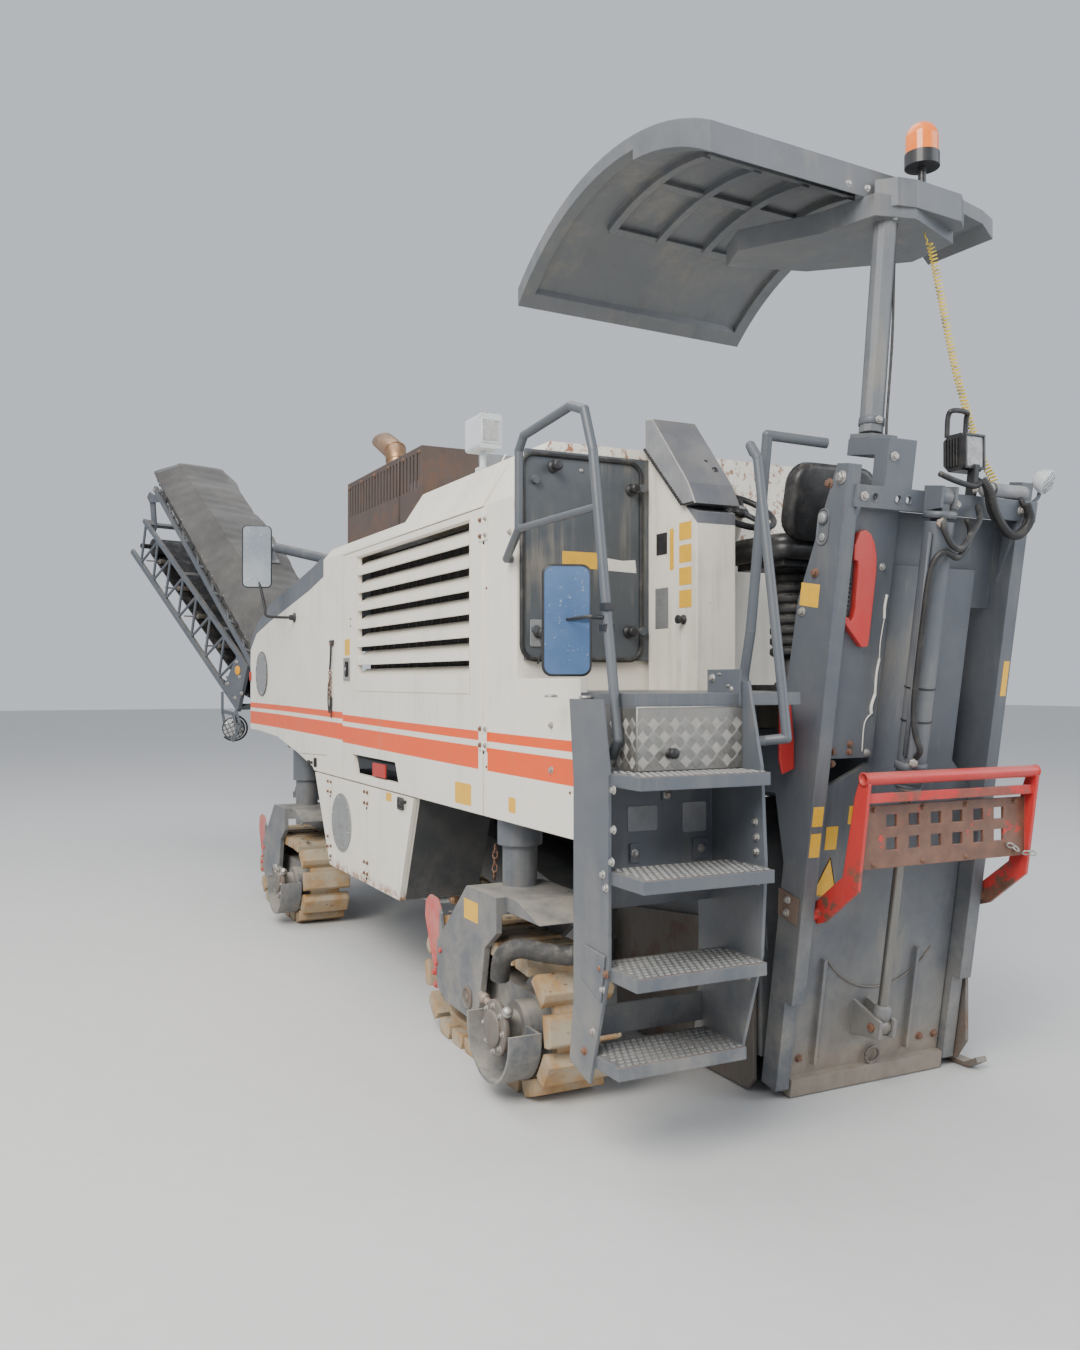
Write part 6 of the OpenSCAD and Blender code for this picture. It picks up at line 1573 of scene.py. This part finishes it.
SEAT_AT = (-605, -215)
CUSHION = [(26, -104), (6, -98), (0, -78), (0, -52), (3, -46), (0, -40), (1, -24), (12, -6),
    (34, 3), (60, 1), (80, -7), (140, -12)]
SEAT = WORLD @ move(*SEAT_AT, 2215)
pad(seat_soft, SEAT, 400, 430, 70, CUSHION)
BACK = WORLD @ move(-800, -215, 2195) @ turn(-12, "Y") @ move(0, 0, 145) @ turn(90, "Y")
pad(seat_soft, BACK, 310, 420, 90, [(24, -44), (4, -38), (0, -20), (0, 4), (3, 10), (0, 15),
    (4, 28), (24, 38), (50, 40), (90, 34), (130, 28)])
seat_pads = seat_soft.make("seat_cushions", vinyl, replaces=["seat"])
seat_base = Piece()
seat_base.ribbed([(*SEAT_AT, 1720), (*SEAT_AT, 2095)], 190, 44, 1, 0.84, 28)
seat_base.box((-760, -385, 2086), (-450, -45, 2112), 0)
seat_base.box((-740, -365, 1580.3), (-470, -65, 1604), 0)
seat_base.lathe((*SEAT_AT, 1604), UP, [(80, 0), (62, 20), (55, 40), (55, 118)], 0, 28)
seat_base.prism([(-760, 2096), (-812, 2130), (-880, 2440), (-858, 2446), (-792, 2150),
    (-745, 2112)], "Y", -255, -175, 0)
seat_base.make("seat_base", [black, rubber], bevel=3, replaces=["seat"])

wheel = Piece(WHEEL_FRAME)
RIM, GRIP = 152, 28
wheel.tube([(*p, 0) for p in closed(circle((0, 0), (RIM, RIM), 56))], GRIP, 0, 14)
for a in (90, 210, 330):
    cosine, sine = math.cos(math.radians(a)), math.sin(math.radians(a))
    # Each spoke carries a near-black inset strip: painted shade of a groove
    for corners, low, high, tone in ((((26, -20), (140, -13), (140, 13), (26, 20)), -7, 5, 0),
            (((60, -6), (116, -5), (116, 5), (60, 6)), 5, 5.8, 1)):
        wheel.prism([(r * cosine - w * sine, r * sine + w * cosine) for r, w in corners],
            "Z", low, high, tone)
wheel.lathe((0, 0, -15), UP, [(34, 0), (38, 3), (38, 22), (30, 30), (12, 33)], 0, 32)
wheel.lathe((0, 0, 18), UP, [(16, 0), (16, 2), (10, 3)], 2, 24)
wheel.make("steering_wheel_grip", [black, shade_black, galvanised],
    replaces=["steering_wheel"], body="wheel")

# Canopy and mast fittings, exhaust guard, hood seams
mast = Piece()
foot, top = Vector((-1178, -118, 2540)), Vector((-1150, -225, 3425))
along = (top - foot).normalized()
collars = [foot + (top - foot) * share for share in (0.05, 0.93)]
for spot in collars:
    mast.lathe(spot, along, [(45, -16), (48, -13), (48, 13), (45, 16)], 0, 28)
mast.bolts([collars[0] + Vector((-50, 10, 0)), collars[1] + Vector((-50, 0, 0))],
    (-1, 0.2, 0), 20, 1)
for y in (-470, -400, -300, -150, -60):
    mast.bolt((-1192, y + 60, 3448), AFT, 18, 1)
mast.hose([(-1205, -350, 3500), (-1200, -330, 3460), (-1190, -260, 3380), (-1185, -235, 3300),
    (-1204, -200, 2900), (-1226, -150, 2560), (-1215, -170, 2460)], 8, 10, 2, 8)
mast.make("mast_collars_and_cable", [slate, zinc, rubber])
EXHAUST_FACE = 745.3
guard_bolts = Piece()
for k in range(6):
    guard_bolts.bolt((1310 + k * 256, EXHAUST_FACE, 2484), LEFT, 18, 0)
    guard_bolts.bolt((1310 + k * 256, EXHAUST_FACE, 2850), LEFT, 16, 0)
guard_bolts.tube([(1640, 746, 2462), (1640, 746, 2876)], 9, 1, 6)
guard_bolts.make("exhaust_guard_bolts", [bolt_rusty, guard_brown])
hood = Piece()
hood.tube([(92, 902, 2372), (92, 902, 1040)], 7, 0, 8)
hood.tube([(92, 902, 2380), (92, 860, 2470), (92, 800, 2606), (92, 790, 2611)], 7, 0, 8)
for y in (-300, 300):
    hood.box((700, y - 60, 2610.3), (820, y + 60, 2622), 0)
    hood.hose([(720, y, 2620), (722, y, 2650), (798, y, 2650), (800, y, 2620)], 5, 12, 1, 8)
hood.make("hood_seam_and_handles", [cream, black], bevel=1, segments=1)
rail_feet = Piece()
for x, y, z in ((-1010, 1000, 1560), (-1180, 548, 1640), (-1230, 548, 1600), (-700, 975, 1560)):
    rail_feet.lathe((x, y, z), UP, [(24, 0), (24, 6), (19, 10)], 0, 20)
rail_feet.make("rail_collars", [zinc])


# Floor and light
def area_light(name, spot, aim, width, height, power, tint=(1.0, 1.0, 1.0)):
    data = bpy.data.lights.new(name, "AREA")
    data.shape = "RECTANGLE"
    data.size = width
    data.size_y = height
    data.energy = power
    data.color = tint
    lamp = add_object(name, data)
    lamp.location = spot
    lamp.rotation_euler = (Vector(aim) - Vector(spot)).to_track_quat("-Z", "Y").to_euler()


FLOOR_HALF = 60.0
floor_mesh = bpy.data.meshes.new("floor")
floor_mesh.from_pydata([(-FLOOR_HALF, -FLOOR_HALF, 0), (FLOOR_HALF, -FLOOR_HALF, 0),
    (FLOOR_HALF, FLOOR_HALF, 0), (-FLOOR_HALF, FLOOR_HALF, 0)], [], [(0, 1, 2, 3)])
floor = add_object("floor", floor_mesh)
floor_paint = Shader("pale_floor")
floor_grain = floor_paint.noise(9, 5, 0.6)
floor_tone = floor_paint.mix(floor_grain, (0.56, 0.56, 0.55), (0.62, 0.62, 0.61))
floor_mesh.materials.append(
    floor_paint.close(floor_tone, 0.8, bump=floor_grain, depth=0.002, strength=0.2))

world = bpy.data.worlds.new("pale_sky")
bpy.context.scene.world = world
world.use_nodes = True
world.node_tree.nodes["Background"].inputs["Color"].default_value = (0.86, 0.91, 1.0, 1)
world.node_tree.nodes["Background"].inputs["Strength"].default_value = 0.75
area_light("key", (-9.0, 8.0, 9.5), (0, 0, 1.5), width=7, height=7, power=2100,
    tint=(1.0, 0.96, 0.9))
area_light("fill", (-10.0, -7.0, 5.0), (-2, 0, 1.5), width=8, height=6, power=500,
    tint=(0.9, 0.95, 1.0))
area_light("top", (1.0, 2.0, 12.0), UP, width=10, height=10, power=700)
